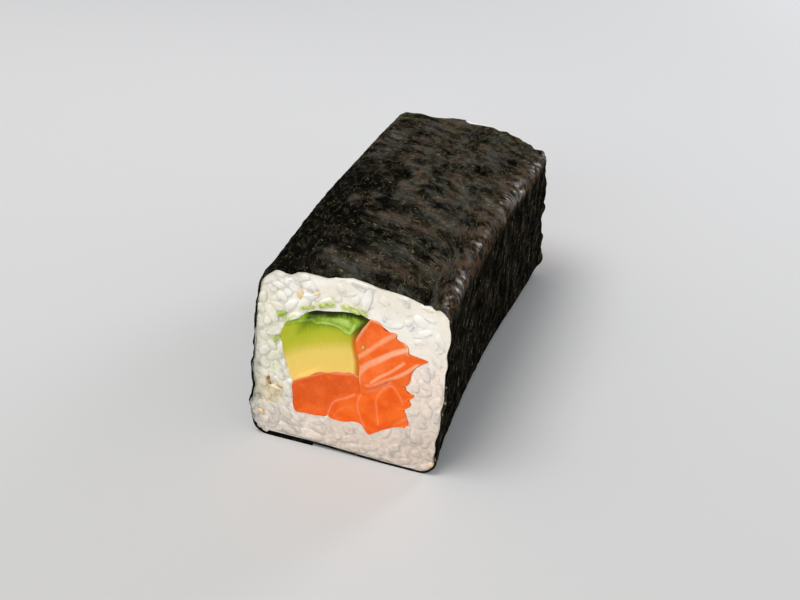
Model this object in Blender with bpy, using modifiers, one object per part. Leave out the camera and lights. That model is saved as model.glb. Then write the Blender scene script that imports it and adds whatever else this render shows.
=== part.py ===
"""A long square-sided sushi roll: one sheet of nori wrapped round rice, avocado and three strips of salmon.

Run it with  blender --background --python part.py  or from Blender's text editor.
The roll lies along Y on the plane z = 0, with the cut face that is seen first at -Y.
"""

import math
import random

import bmesh
import bpy
import numpy as np
from mathutils import Euler, Matrix

MM = 0.001

# Driving dimensions, in millimetres. Half a sheet of nori is 105 x 190: its short side is the roll's length.
ROLL_LENGTH = 105.0
NORI_THICKNESS = 0.5
LAYER_GAP = 0.25  # between the sheet's two layers where its end laps over its start
REST_GAP = 0.3  # between touching pieces
OVERLAP_SHARE = 0.3  # of the underside, covered by both ends of the sheet
TORN_EDGE = 1.4  # how far the sheet's far edge is out of true
TEAR_DEPTH = 2.4  # of the strip torn from that edge on top, and where across it starts and ends
TEAR_SPAN = (-3.0, 20.0)
TEAR_STEP = 2.0

# The wrapped section as a polygon with rounded corners, seen from the front: x, z and corner radius
# at four stations along the roll. Its right side leans in at the middle, and its back is low on the right.
STATIONS = (0.0, 0.4, 0.78, 1.0)
SECTION_CORNERS = {
    "bottom_right": ((22.4, 0.0, 4.2), (20.8, 0.0, 5.5), (23.0, 0.0, 6.5), (24.5, 0.0, 6.5)),
    "top_right": ((23.5, 43.7, 3.2), (22.6, 44.8, 4.0), (23.3, 42.8, 3.5), (22.3, 39.8, 2.6)),
    "crown": ((7.5, 47.3, 60.0), (3.1, 48.9, 70.0), (3.8, 46.4, 60.0), (7.8, 45.9, 30.0)),
    "top_left": ((-21.1, 44.8, 7.0), (-22.5, 47.5, 6.0), (-23.8, 47.1, 5.0), (-24.2, 45.6, 3.4)),
    "bottom_left": ((-24.3, 0.0, 5.0), (-23.5, 0.0, 5.0), (-23.4, 0.0, 5.5), (-23.6, 0.0, 5.5)),
}
ARC_STEPS = {"bottom_right": 4, "top_right": 4, "crown": 3, "top_left": 4, "bottom_left": 4}
SIDE_STEPS = {"bottom_right": 6, "top_right": 2, "crown": 4, "top_left": 6, "bottom_left": 5}
OVERLAP_STEPS = 3
LENGTH_STEPS = 10

# Gentle swells of the wrapped surface, as the packed rice pushes it out. They fade out near the underside.
SWELL_HEIGHT = 0.35
SWELL_FADE = 9.0
SWELL_WAVES = ((0.21, 0.055, 0.4), (0.13, -0.12, 2.1), (0.33, 0.09, 4.4))

# The fillings as seen on the front cut face: corner points of outlines whose corners are then cut smooth.
# Neighbours share their points, and the corners where all four meet stay sharp.
AVOCADO_TO_LEFT_STRIP = ((-13.0, 16.8), (-9.0, 19.2), (-4.6, 21.6), (3.2, 22.6))
AVOCADO_TO_UPPER_STRIP = ((3.2, 22.6), (2.6, 28.0), (2.3, 31.0), (3.3, 34.0), (5.3, 37.9))
LEFT_TO_RIGHT_STRIP = ((3.8, 18.0), (0.3, 15.9), (-3.0, 13.5), (-4.3, 9.4))
RIGHT_TO_UPPER_STRIP = ((3.8, 18.0), (7.6, 20.2), (11.0, 22.8), (13.8, 22.6))
AVOCADO_OUTLINE = (
    *AVOCADO_TO_LEFT_STRIP,
    *AVOCADO_TO_UPPER_STRIP[1:],
    (2.4, 38.9), (-2.6, 37.9), (-8.0, 36.8), (-11.0, 34.4), (-15.2, 31.2), (-15.5, 26.8), (-14.0, 21.0),
)
SALMON_UPPER_OUTLINE = (
    *RIGHT_TO_UPPER_STRIP,
    (15.1, 25.2), (16.4, 28.8), (19.3, 30.2), (14.8, 31.4), (13.8, 33.4), (10.8, 34.8), (8.2, 37.9),
    *AVOCADO_TO_UPPER_STRIP[:0:-1],
    (3.4, 22.6),
)
SALMON_RIGHT_OUTLINE = (
    *RIGHT_TO_UPPER_STRIP[::-1],
    *LEFT_TO_RIGHT_STRIP[1:],
    (-1.4, 8.7), (3.8, 9.7), (6.2, 7.0), (10.2, 9.8), (15.6, 11.0), (15.2, 14.4), (14.1, 16.4), (15.3, 18.4),
    (16.9, 20.6),
)
SALMON_LEFT_OUTLINE = (
    *AVOCADO_TO_LEFT_STRIP[::-1],
    (-12.9, 12.4), (-12.4, 8.2), (-8.0, 8.8),
    *LEFT_TO_RIGHT_STRIP[::-1],
)
JUNCTION = (3.4, 20.4)  # where the four fillings meet, which no rice reaches
JUNCTION_RADIUS = 4.0

# Towards the back the bundle of fillings turns, shrinks and sinks a little.
FILLING_CENTRE = (0.5, 22.9)
FILLING_TURN_DEG = -5.0
FILLING_SHRINK = 0.05
FILLING_DRIFT = (0.6, -1.2)
FILLING_STEPS = 5
FILLING_RELIEF = 0.18  # each filling is this much smaller all round than its shared outline
END_ROUNDING = ((0.0, 0.5), (0.15, 0.2), (0.6, 0.0))  # depth behind the face, and how far it is drawn in there
FILLING_RECESS = {"avocado": 0.4, "salmon_upper": 0.2, "salmon_right": 0.3, "salmon_left": 0.35}

# Cooked short-grain rice, and the grains that lie fused on the two cut faces.
GRAIN_LENGTH = 6.6
GRAIN_WIDTH = 2.9
GRAIN_SPREAD = 0.12
GRAIN_SEGMENTS = 5
GRAIN_RINGS = 4
GRAIN_PLUMPNESS = 0.55  # 1 for pointed ends, less for blunt ones
GRAIN_SPACING = 2.15
GRAIN_TRIES = 5000
GRAIN_CLEARANCE = 0.08
CORE_RECESS = 1.35  # the bare rice core ends this far behind the sheet's edge
STEEP_SHARE = (0.15, 0.75)  # of the first and the last grains, that point out of the face and fill gaps
STEEP_TILT_DEG = (50.0, 90.0)
LYING_TILT_DEG = (-18.0, 18.0)
STEEP_DEPTH = (2.2, 1.6)  # of a grain's middle behind the core's face
LYING_DEPTH = (0.45, -0.05)
GRAIN_SEED = {-1: 11, 1: 23}

SHARP_ANGLE_DEG = 40.0  # edges sharper than this are shaded as edges
JUNCTION_SIDES = 12

FINISHES = {
    "nori": ((0.012, 0.013, 0.009), 0.45),
    "rice": ((0.82, 0.79, 0.72), 0.4),
    "avocado": ((0.68, 0.62, 0.10), 0.35),
    "salmon": ((0.90, 0.20, 0.04), 0.3),
}


def clear_scene():
    for item in list(bpy.data.objects):
        bpy.data.objects.remove(item)


def new_collection(name):
    collection = bpy.data.collections.new(name)
    bpy.context.scene.collection.children.link(collection)
    return collection


def finish(name):
    """A Principled BSDF with the finish's colour and roughness."""
    colour, roughness = FINISHES[name]
    material = bpy.data.materials.new(name)
    material.use_nodes = True
    shader = material.node_tree.nodes["Principled BSDF"]
    shader.inputs["Base Color"].default_value = (*colour, 1.0)
    shader.inputs["Roughness"].default_value = roughness
    shader.inputs["Metallic"].default_value = 0.0
    return material


def corners_at(along):
    """The section's corners at a share of the length, on a cubic through the four stations."""
    weights = []
    for station in STATIONS:
        others = [other for other in STATIONS if other != station]
        weights.append(math.prod((along - other) / (station - other) for other in others))
    return {name: np.array(weights) @ np.array(corners) for name, corners in SECTION_CORNERS.items()}


def arc_of(before, corner, after, steps):
    """Points and outward normals of one rounded corner, from one side's tangent point to the next side's."""
    point, radius = corner[:2], corner[2]
    back = (before[:2] - point) / np.linalg.norm(before[:2] - point)
    onward = (after[:2] - point) / np.linalg.norm(after[:2] - point)
    half = math.acos(float(np.clip(back @ onward, -1, 1))) / 2
    middle = (back + onward) / np.linalg.norm(back + onward)
    centre = point + middle * radius / math.sin(half)
    start = point + back * radius / math.tan(half) - centre
    turn = math.pi - 2 * half
    angles = np.linspace(0, turn, steps + 1)
    normals = np.stack([
        start[0] * np.cos(angles) - start[1] * np.sin(angles),
        start[0] * np.sin(angles) + start[1] * np.cos(angles),
    ], axis=1) / radius
    return centre + normals * radius, normals


def section_outline(along):
    """Points and outward normals round the wrapped section. It starts where the sheet starts, at the
    left end of the flat underside, and runs right, up, left and down again."""
    corners = corners_at(along)
    names = list(corners)
    arcs = {}
    for i, name in enumerate(names):
        after = corners[names[(i + 1) % len(names)]]
        arcs[name] = arc_of(corners[names[i - 1]], corners[name], after, ARC_STEPS[name])
    left, right = arcs["bottom_left"][0][-1], arcs["bottom_right"][0][0]
    turn = left + (right - left) * OVERLAP_SHARE
    rest = np.linspace(turn, right, SIDE_STEPS["bottom_right"])[1:]
    points = [np.linspace(left, turn, OVERLAP_STEPS + 1), rest]
    normals = [np.tile((0.0, -1.0), (len(part), 1)) for part in points]
    for i, name in enumerate(names):
        arc, arc_normals = arcs[name]
        points.append(arc[1:])
        normals.append(arc_normals[1:])
        if name == "bottom_left":
            break
        goal = arcs[names[i + 1]][0][0]
        side = np.linspace(arc[-1], goal, SIDE_STEPS[names[i + 1]])[1:]
        points.append(side)
        normals.append(np.tile(arc_normals[-1], (len(side), 1)))
    return np.vstack(points)[:-1], np.vstack(normals)[:-1]


def swell(points, y):
    """How far the surface stands out at points (x, z) of the section at y: a few crossed waves."""
    height = np.zeros(len(points))
    for round_rate, length_rate, phase in SWELL_WAVES:
        height += np.sin(round_rate * (points[:, 0] - points[:, 1]) + length_rate * y + phase)
    fade = np.clip(points[:, 1] / SWELL_FADE, 0, 1)
    return SWELL_HEIGHT * height / len(SWELL_WAVES) * fade * fade * (3 - 2 * fade)


def lap_inset():
    """How far the sheet's first turn is drawn in, so that its end can pass below it on the underside."""
    lift = NORI_THICKNESS + LAYER_GAP
    ease = np.linspace(1, 0, SIDE_STEPS["bottom_right"] - 1)[1:]
    return lift * np.concatenate([np.ones(OVERLAP_STEPS + 1), ease * ease * (3 - 2 * ease)])


def wrapped_ring(along, y, inset):
    """The section at y drawn in by inset: one number, or one for each point."""
    points, normals = section_outline(along)
    moved = points + normals * (swell(points, y) - inset)[:, None]
    return np.column_stack([moved[:, 0], np.full(len(moved), y), moved[:, 1]])


def mesh_object(name, bm, collection, material=None):
    """The bmesh as an object in metres, shaded smooth but for its sharp edges."""
    bmesh.ops.scale(bm, vec=(MM, MM, MM), verts=bm.verts)
    mesh = bpy.data.meshes.new(name)
    bm.to_mesh(mesh)
    bm.free()
    mesh.shade_smooth()
    mesh.set_sharp_from_angle(angle=math.radians(SHARP_ANGLE_DEG))
    item = bpy.data.objects.new(name, mesh)
    collection.objects.link(item)
    if material:
        mesh.materials.append(material)
    return item


def loft(rings, closed=True, capped=True):
    """A bmesh skin over equal rings of points, turned outwards if it is capped."""
    bm = bmesh.new()
    rows = [[bm.verts.new(point) for point in ring] for ring in rings]
    count = len(rows[0])
    for row, after in zip(rows, rows[1:]):
        for i in range(count if closed else count - 1):
            j = (i + 1) % count
            bm.faces.new((row[i], row[j], after[j], after[i]))
    if capped:
        bm.faces.new(rows[0][::-1])
        bm.faces.new(rows[-1])
        if bm.calc_volume(signed=True) < 0:
            bmesh.ops.reverse_faces(bm, faces=bm.faces)
    return bm


def torn_edge(ring):
    """How much of the sheet is missing at its far edge: waves all round, and a torn strip on top that
    starts at a step and thins out to the right."""
    turn = np.linspace(0, 2 * math.pi, len(ring))
    missing = TORN_EDGE * (0.5 + 0.3 * np.sin(3 * turn + 0.6) + 0.2 * np.sin(7 * turn))
    start = np.clip((ring[:, 0] - TEAR_SPAN[0]) / TEAR_STEP, 0, 1)
    thinning = np.clip((TEAR_SPAN[1] - ring[:, 0]) / (TEAR_SPAN[1] - TEAR_SPAN[0]), 0, 1)
    on_top = ring[:, 2] > ring[:, 2].max() / 2
    return missing + TEAR_DEPTH * start * thinning * on_top


def add_nori(collection):
    """The sheet: an open strip once round the section and on under its own start, thickened inwards."""
    rings = []
    for step in range(LENGTH_STEPS + 1):
        along = step / LENGTH_STEPS
        y = (along - 0.5) * ROLL_LENGTH
        outline, _ = section_outline(along)
        inset = np.zeros(len(outline))
        lap = lap_inset()
        inset[:len(lap)] = lap
        first = wrapped_ring(along, y, inset)
        end = wrapped_ring(along, y, np.zeros(len(outline)))[:OVERLAP_STEPS + 1]
        ring = np.vstack([first, end])
        if step == LENGTH_STEPS:
            ring[:, 1] -= torn_edge(ring)
        rings.append(ring)
    bm = loft(rings, closed=False, capped=False)
    bmesh.ops.recalc_face_normals(bm, faces=bm.faces)
    nori = mesh_object("nori", bm, collection, finish("nori"))
    thickness = nori.modifiers.new("sheet thickness", "SOLIDIFY")
    thickness.thickness = NORI_THICKNESS * MM
    thickness.offset = -1.0
    return nori


def smooth_outline(corners):
    """A closed outline with each corner cut off at a quarter of its sides, but for those at the junction."""
    points = []
    for i, corner in enumerate(np.array(corners, float)):
        before, after = np.array(corners[i - 1]), np.array(corners[(i + 1) % len(corners)])
        if np.linalg.norm(corner - np.array(JUNCTION)) < JUNCTION_RADIUS:
            points.append(corner)
        else:
            points += [0.75 * corner + 0.25 * before, 0.75 * corner + 0.25 * after]
    return np.array(points)


def grown(outline, distance):
    """The anticlockwise outline moved outwards by distance, or inwards if that is negative."""
    before, after = np.roll(outline, 1, axis=0), np.roll(outline, -1, axis=0)
    along = (after - before) / np.linalg.norm(after - before, axis=1)[:, None]
    return outline + distance * np.column_stack([along[:, 1], -along[:, 0]])


def anticlockwise(outline):
    x, z = outline[:, 0], outline[:, 1]
    area = np.sum(x * np.roll(z, -1) - np.roll(x, -1) * z)
    return outline if area > 0 else outline[::-1]


def filling_ring(outline, y):
    """A filling's outline carried from the front face to y, with the bundle's turn, shrink and drift."""
    along = y / ROLL_LENGTH + 0.5
    angle = math.radians(FILLING_TURN_DEG) * along
    turn = np.array([[math.cos(angle), -math.sin(angle)], [math.sin(angle), math.cos(angle)]])
    centre = np.array(FILLING_CENTRE)
    shrunk = (outline - centre) @ turn.T * (1 - FILLING_SHRINK * along)
    moved = shrunk + centre + np.array(FILLING_DRIFT) * along
    return np.column_stack([moved[:, 0], np.full(len(moved), y), moved[:, 1]])


def add_filling(name, corners, collection, material):
    """One filling through the whole roll, its two cut ends rounded a little at the rim."""
    outline = grown(anticlockwise(smooth_outline(corners)), -FILLING_RELIEF)
    reach = ROLL_LENGTH / 2 - FILLING_RECESS[name]
    near = [(-reach + depth, -draw) for depth, draw in END_ROUNDING]
    between = np.linspace(-reach, reach, FILLING_STEPS + 1)[1:-1]
    far = [(reach - depth, -draw) for depth, draw in reversed(END_ROUNDING)]
    stations = near + [(y, 0.0) for y in between] + far
    rings = [filling_ring(grown(outline, draw), y) for y, draw in stations]
    return mesh_object(name, loft(rings), collection, material)


def cutter_ring(outline, y):
    return filling_ring(grown(outline, REST_GAP - FILLING_RELIEF), y)


def add_cutter(name, outline, collection):
    """A filling's path through the rice, with the gap round it, run out past both ends."""
    reach = ROLL_LENGTH / 2 + GRAIN_WIDTH
    rings = [cutter_ring(outline, y) for y in np.linspace(-reach, reach, FILLING_STEPS + 1)]
    cutter = mesh_object(name, loft(rings), collection)
    cutter.hide_render = True
    cutter.display_type = "WIRE"
    return cutter


def edge_distance(points, outline):
    """Signed distance from each point to a closed outline, positive inside it."""
    start = outline
    end = np.roll(outline, -1, axis=0)
    side = end - start
    rel = points[:, None, :] - start[None]
    share = np.clip(np.einsum("ijk,jk->ij", rel, side) / np.einsum("jk,jk->j", side, side), 0, 1)
    away = np.linalg.norm(rel - share[..., None] * side, axis=2).min(axis=1)
    above = (start[None, :, 1] > points[:, None, 1]) != (end[None, :, 1] > points[:, None, 1])
    height = np.where(side[:, 1] == 0, 1e-9, side[:, 1])
    crossing = start[:, 0] + (points[:, None, 1] - start[:, 1]) / height * side[:, 0]
    inside = (above & (points[:, None, 0] < crossing)).sum(axis=1) % 2 == 1
    return np.where(inside, away, -away)


def grain_mesh():
    """One low grain along X, shared by all: a sphere with few sides, made blunt at its ends and drawn out."""
    bm = bmesh.new()
    bmesh.ops.create_uvsphere(bm, u_segments=GRAIN_SEGMENTS, v_segments=GRAIN_RINGS, radius=1.0)
    for vert in bm.verts:
        across = vert.co.xy.length
        if across > MM:
            vert.co.xy *= across ** GRAIN_PLUMPNESS / across
    bmesh.ops.rotate(bm, matrix=Matrix.Rotation(math.pi / 2, 3, "Y"), verts=bm.verts)
    bmesh.ops.scale(bm, vec=(GRAIN_LENGTH / 2, GRAIN_WIDTH / 2, GRAIN_WIDTH / 2), verts=bm.verts)
    return bm


def grain_places(end, rice_outline, filling_outlines):
    """Matrices for the grains on one cut face, thrown at random and kept where they clear the sheet, the
    fillings and each other's middles."""
    rng = random.Random(GRAIN_SEED[end])
    shape = grain_mesh()
    corners = [vert.co.copy() for vert in shape.verts]
    shape.free()
    low, high = rice_outline.min(axis=0), rice_outline.max(axis=0)
    face = end * (ROLL_LENGTH / 2 - CORE_RECESS)
    places, middles = [], []
    for attempt in range(GRAIN_TRIES):
        middle = np.array([rng.uniform(low[0], high[0]), rng.uniform(low[1], high[1])])
        heading = rng.uniform(0, math.pi)
        steep = rng.random() < np.interp(attempt / GRAIN_TRIES, (0, 1), STEEP_SHARE)
        tilt = math.radians(rng.uniform(*(STEEP_TILT_DEG if steep else LYING_TILT_DEG)))
        size = 1 + rng.uniform(-GRAIN_SPREAD, GRAIN_SPREAD)
        depth = -end * rng.uniform(*(STEEP_DEPTH if steep else LYING_DEPTH))
        if any(np.linalg.norm(middle - other) < GRAIN_SPACING for other in middles):
            continue
        turn = Euler((0, heading, 0)).to_matrix() @ Euler((0, 0, tilt)).to_matrix()
        place = Matrix.Translation((middle[0], face + depth, middle[1])) @ (turn * size).to_4x4()
        moved = [place @ corner for corner in corners]
        reach = max(end * point.y for point in moved)
        if reach > ROLL_LENGTH / 2:
            place = Matrix.Translation((0, end * (ROLL_LENGTH / 2 - reach), 0)) @ place
        spread = np.array([(point.x, point.z) for point in moved])
        if edge_distance(spread, rice_outline).min() < GRAIN_CLEARANCE:
            continue
        if any(edge_distance(spread, outline).max() > -GRAIN_CLEARANCE for outline in filling_outlines):
            continue
        places.append(place)
        middles.append(middle)
    return places


def rice_inset():
    outline, _ = section_outline(0)
    inset = np.full(len(outline), NORI_THICKNESS + REST_GAP)
    lap = lap_inset()
    inset[:len(lap)] += lap
    return inset


def add_rice(collection, cutters):
    """The packed rice: a core that fills the sheet, grains fused on both cut faces, and the fillings' way."""
    inset = rice_inset()
    reach = ROLL_LENGTH / 2 - CORE_RECESS
    rings = []
    for step in range(LENGTH_STEPS + 1):
        along = step / LENGTH_STEPS
        y = float(np.clip((along - 0.5) * ROLL_LENGTH, -reach, reach))
        rings.append(wrapped_ring(y / ROLL_LENGTH + 0.5, y, inset))
    rice = mesh_object("rice", loft(rings), collection, finish("rice"))

    grains = new_collection("loose grains")
    shape = grain_mesh()
    for end in (-1, 1):
        rim = rings[0 if end < 0 else -1][:, [0, 2]]
        ways = [cutter_ring(outline, end * ROLL_LENGTH / 2)[:, [0, 2]] for outline in cutters["outlines"]]
        for number, place in enumerate(grain_places(end, rim, ways)):
            copy = shape.copy()
            copy.transform(place)
            mesh_object(f"grain_{end}_{number}", copy, grains)
    shape.free()

    joined = rice.modifiers.new("fuse grains", "BOOLEAN")
    joined.operation = "UNION"
    joined.operand_type = "COLLECTION"
    joined.collection = grains
    bpy.context.view_layer.update()
    graph = bpy.context.evaluated_depsgraph_get()
    fused = bpy.data.meshes.new_from_object(rice.evaluated_get(graph))
    rice.modifiers.remove(joined)
    rice.data = fused
    for grain in list(grains.objects):
        bpy.data.objects.remove(grain)
    bpy.data.collections.remove(grains)

    way = rice.modifiers.new("filling way", "BOOLEAN")
    way.operation = "DIFFERENCE"
    way.operand_type = "COLLECTION"
    way.collection = cutters["collection"]
    return rice


def add_cutters(outlines):
    """One cutter for each filling, and a round plug where they meet."""
    collection = new_collection("cutters")
    smooth = [anticlockwise(smooth_outline(corners)) for corners in outlines.values()]
    angles = np.linspace(0, 2 * math.pi, JUNCTION_SIDES, endpoint=False)
    smooth.append(np.array(JUNCTION) + JUNCTION_RADIUS * np.column_stack([np.cos(angles), np.sin(angles)]))
    names = [f"{name}_way" for name in outlines] + ["junction_way"]
    for name, outline in zip(names, smooth):
        add_cutter(name, outline, collection)
    return {"collection": collection, "outlines": smooth}


def main():
    clear_scene()
    roll = new_collection("salmon_avocado_roll")
    outlines = {
        "avocado": AVOCADO_OUTLINE,
        "salmon_upper": SALMON_UPPER_OUTLINE,
        "salmon_right": SALMON_RIGHT_OUTLINE,
        "salmon_left": SALMON_LEFT_OUTLINE,
    }
    salmon = finish("salmon")
    for name, corners in outlines.items():
        add_filling(name, corners, roll, finish("avocado") if name == "avocado" else salmon)
    add_nori(roll)
    add_rice(roll, add_cutters(outlines))


main()
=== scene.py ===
import math

import bpy
import numpy as np
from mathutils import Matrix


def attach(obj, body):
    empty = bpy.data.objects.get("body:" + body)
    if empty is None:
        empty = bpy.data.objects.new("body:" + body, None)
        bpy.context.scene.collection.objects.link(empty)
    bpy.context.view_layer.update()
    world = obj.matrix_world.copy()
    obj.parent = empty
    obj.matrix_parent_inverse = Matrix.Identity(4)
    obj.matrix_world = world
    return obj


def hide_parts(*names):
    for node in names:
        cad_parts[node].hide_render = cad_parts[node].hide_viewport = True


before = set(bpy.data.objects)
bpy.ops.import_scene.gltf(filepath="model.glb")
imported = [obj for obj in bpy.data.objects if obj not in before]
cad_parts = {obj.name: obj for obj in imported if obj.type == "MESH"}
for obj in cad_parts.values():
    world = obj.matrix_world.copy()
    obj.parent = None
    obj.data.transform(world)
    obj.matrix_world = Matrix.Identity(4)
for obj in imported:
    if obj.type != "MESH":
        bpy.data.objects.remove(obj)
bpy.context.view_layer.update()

mm = 0.001  # every shape below is worked out in millimetres


def smoothStep(t):
    # 0 to 1 with level ends: three squares less two cubes
    t = np.clip(t, 0, 1)
    return t * t * (3 - 2 * t)


def unit(vectors):
    # each vector divided by its length
    return vectors / np.linalg.norm(vectors, axis=-1, keepdims=True)


def turned(flat, angle):
    # points turned about the origin: x cos - z sin, and x sin + z cos
    x, z, cos, sin = flat[..., 0], flat[..., 1], np.cos(angle), np.sin(angle)
    return np.stack([x * cos - z * sin, x * sin + z * cos], axis=-1)


def standing(flat, y):
    # points of x and z stood up at y
    return np.stack([flat[..., 0], np.broadcast_to(y, flat.shape[:-1]), flat[..., 1]], axis=-1)


# The wrapped roll. Corners are x, z and radius of the section's rounded corners, seen from the front, at
# four stations along the roll; the sheet starts on the underside and laps over its own start.
roll = {
    "length": 105.0,
    "stations": (0.0, 0.4, 0.78, 1.0),
    "corners": {
        "bottomRight": ((22.4, 0.0, 4.2), (20.8, 0.0, 5.5), (23.0, 0.0, 6.5), (24.5, 0.0, 6.5)),
        "topRight": ((23.5, 43.7, 3.2), (22.6, 44.8, 4.0), (23.3, 42.8, 3.5), (22.3, 39.8, 2.6)),
        "crown": ((7.5, 47.3, 60.0), (3.1, 48.9, 70.0), (3.8, 46.4, 60.0), (7.8, 45.9, 30.0)),
        "topLeft": ((-21.1, 44.8, 7.0), (-22.5, 47.5, 6.0), (-23.8, 47.1, 5.0), (-24.2, 45.6, 3.4)),
        "bottomLeft": ((-24.3, 0.0, 5.0), (-23.5, 0.0, 5.0), (-23.4, 0.0, 5.5), (-23.6, 0.0, 5.5)),
    },
    "arcSteps": {"bottomRight": 14, "topRight": 11, "crown": 6, "topLeft": 14, "bottomLeft": 12},
    "sideSteps": {"topRight": 42, "crown": 20, "topLeft": 24, "bottomLeft": 38},
    "lapShare": 0.3, "lapSteps": 16, "lapEase": 0.8, "restSteps": 34,
    "swellHeight": 0.35, "swellFade": 7.0, "bulgeHeight": 0.30, "bulgeReach": 6.0,
    "swellWaves": ((0.21, 0.055, 0.4), (0.13, -0.12, 2.1), (0.33, 0.09, 4.4)),
}

# The sheet of nori itself. Its noise fields lie over "field" millimetres, round it and along it.
sheet = {
    "thickness": 0.42, "layerGap": 0.3, "rows": 250, "innerStep": 3, "field": (200, 110),
    "riceBump": 0.22, "bumpSpacing": 2.7, "fineBump": 0.05, "fineSize": 0.35, "flatBelow": 4.0,
    "ribHeight": 0.34, "ribSpacing": 3.2, "ribReach": (-3.4, 4.6), "ribLean": 0.05, "ribDrift": 0.8,
    "ribSharpness": 1.3, "ribWander": 3.0,
    "tornEdge": 1.4, "tearDepth": 2.4, "tearSpan": (-3.0, 20.0), "tearAbove": 30, "tearStep": 1.2,
    "ragged": 0.35, "tornZone": 0.12,
    "frontEdge": 0.42, "frontZone": 0.04, "frontSize": 1.2,
}


def cornersAt(along):
    # every corner's x, z and radius at each share of the length: a cubic through the four stations
    stations = np.array(roll["stations"])
    weights = []
    for i, station in enumerate(stations):
        others = np.delete(stations, i)
        weights.append(np.prod((along[:, None] - others) / (station - others), axis=1))
    return {name: np.stack(weights, axis=1) @ np.array(corner) for name, corner in roll["corners"].items()}


def arcOf(before, corner, after, steps):
    # one rounded corner in every row: its centre lies on the corner's bisector, and the first tangent
    # point is turned about it to the second
    point, radius = corner[:, :2], corner[:, 2:]
    back, onward = unit(before[:, :2] - point), unit(after[:, :2] - point)
    half = np.arccos(np.sum(back * onward, axis=1, keepdims=True)) / 2
    centre = point + unit(back + onward) * radius / np.sin(half)
    start = point + back * radius / np.tan(half) - centre
    angle = (math.pi - 2 * half) * np.linspace(0, 1, steps + 1)
    normals = turned(start[:, None], angle) / radius[:, :, None]
    return centre[:, None] + normals * radius[:, :, None], normals


def straight(start, end, steps):
    # evenly spaced points from start to end in every row, without the first
    share = np.linspace(0, 1, steps + 1)[1:, None]
    return start[:, None] + (end - start)[:, None] * share


def wrappedSection(along):
    # the sheet's outer line in every row, from its start on the underside once round and on below its
    # start: points, outward normals, and how far each point is drawn in where the sheet laps
    corners = cornersAt(along)
    names = list(corners)
    arcs = {}
    for i, name in enumerate(names):
        after = corners[names[(i + 1) % len(names)]]
        arcs[name] = arcOf(corners[names[i - 1]], corners[name], after, roll["arcSteps"][name])
    left, right = arcs["bottomLeft"][0][:, -1], arcs["bottomRight"][0][:, 0]
    turn = left + (right - left) * roll["lapShare"]
    down = np.array([0.0, -1.0])
    points = [left[:, None], straight(left, turn, roll["lapSteps"]), straight(turn, right, roll["restSteps"])]
    normals = [np.broadcast_to(down, part.shape) for part in points]
    for i, name in enumerate(names):
        if i:
            side = straight(arcs[names[i - 1]][0][:, -1], arcs[name][0][:, 0], roll["sideSteps"][name])
            points.append(side)
            normals.append(np.broadcast_to(arcs[name][1][:, :1], side.shape))
        points.append(arcs[name][0][:, 1:])
        normals.append(arcs[name][1][:, 1:])
    flap = straight(left, turn, roll["lapSteps"])
    points.append(flap)
    normals.append(np.broadcast_to(down, flap.shape))
    points, normals = np.concatenate(points, axis=1), np.concatenate(normals, axis=1)
    inset = np.zeros(points.shape[1])
    lift = sheet["thickness"] + sheet["layerGap"]
    inset[:roll["lapSteps"] + 1] = lift
    share = np.linspace(0, 1, roll["restSteps"] + 1)[1:]
    inset[roll["lapSteps"] + 1:][:roll["restSteps"]] = lift * smoothStep(1 - share / roll["lapEase"])
    return points, normals, inset


def onSheet(around, y):
    # a place on the sheet, counted from the corner of its noise fields
    return around + sheet["field"][0] / 2, y + sheet["field"][1] / 2


def swell(points, y):
    # how far packed rice pushes the surface out: the mean of a few crossed waves, and single grains near the
    # cut faces, faded out near the floor
    x, z = points[..., 0], points[..., 1]
    height = sum(np.sin(a * (x - z) + b * y + c) for a, b, c in roll["swellWaves"])
    nearEnds = np.exp(-((roll["length"] / 2 - abs(y)) / roll["bulgeReach"]) ** 2)
    grains = sampleField(bulgeField, bulgeCell, *onSheet(columnPlace, y)) * nearEnds
    rise = roll["swellHeight"] * height / len(roll["swellWaves"]) + roll["bulgeHeight"] * grains
    return rise * smoothStep(z / roll["swellFade"])


def grainField(width, height, cell, spacing, seed):
    # packed grains as a height picture, 0 to 1: long domes on a jittered grid at eight headings, and the
    # highest dome kept at each place, by the sixth root of the sum of their sixth powers
    rng = np.random.default_rng(seed)
    countX, countY = int(width / cell), int(height / cell)
    x = ((np.arange(countX) + countX // 2) % countX - countX // 2)[:, None] * cell
    y = ((np.arange(countY) + countY // 2) % countY - countY // 2)[None] * cell
    gridX, gridY = np.meshgrid(np.arange(0, width, spacing), np.arange(0, height, spacing), indexing="ij")
    spotX = ((gridX + rng.uniform(-0.5, 0.5, gridX.shape) * spacing) / cell).astype(int).ravel() % countX
    spotY = ((gridY + rng.uniform(-0.5, 0.5, gridY.shape) * spacing) / cell).astype(int).ravel() % countY
    headings = np.linspace(0, math.pi, 8, endpoint=False)
    choice = rng.integers(len(headings), size=len(spotX))
    total = np.zeros((countX, countY))
    for i, heading in enumerate(headings):
        spots = np.zeros_like(total)
        np.add.at(spots, (spotX[choice == i], spotY[choice == i]), 1.0)
        lengthwise = x * math.cos(heading) + y * math.sin(heading)
        across = y * math.cos(heading) - x * math.sin(heading)
        dome = np.clip(1 - (lengthwise / 3.0) ** 2 - (across / 1.55) ** 2, 0, None) ** 3
        total += np.fft.irfft2(np.fft.rfft2(spots) * np.fft.rfft2(dome), s=total.shape)
    return np.clip(total, 0, None) ** (1 / 6)


def softField(width, height, cell, size, seed):
    # smooth noise of one size: white noise through a Gaussian, scaled to a deviation of one
    rng = np.random.default_rng(seed)
    shape = int(width / cell), int(height / cell)
    rates = np.fft.fftfreq(shape[0], cell)[:, None] ** 2 + np.fft.rfftfreq(shape[1], cell)[None] ** 2
    bell = np.exp(-2 * (math.pi * size) ** 2 * rates)
    field = np.fft.irfft2(np.fft.rfft2(rng.normal(size=shape)) * bell, s=shape)
    return field / field.std()


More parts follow.
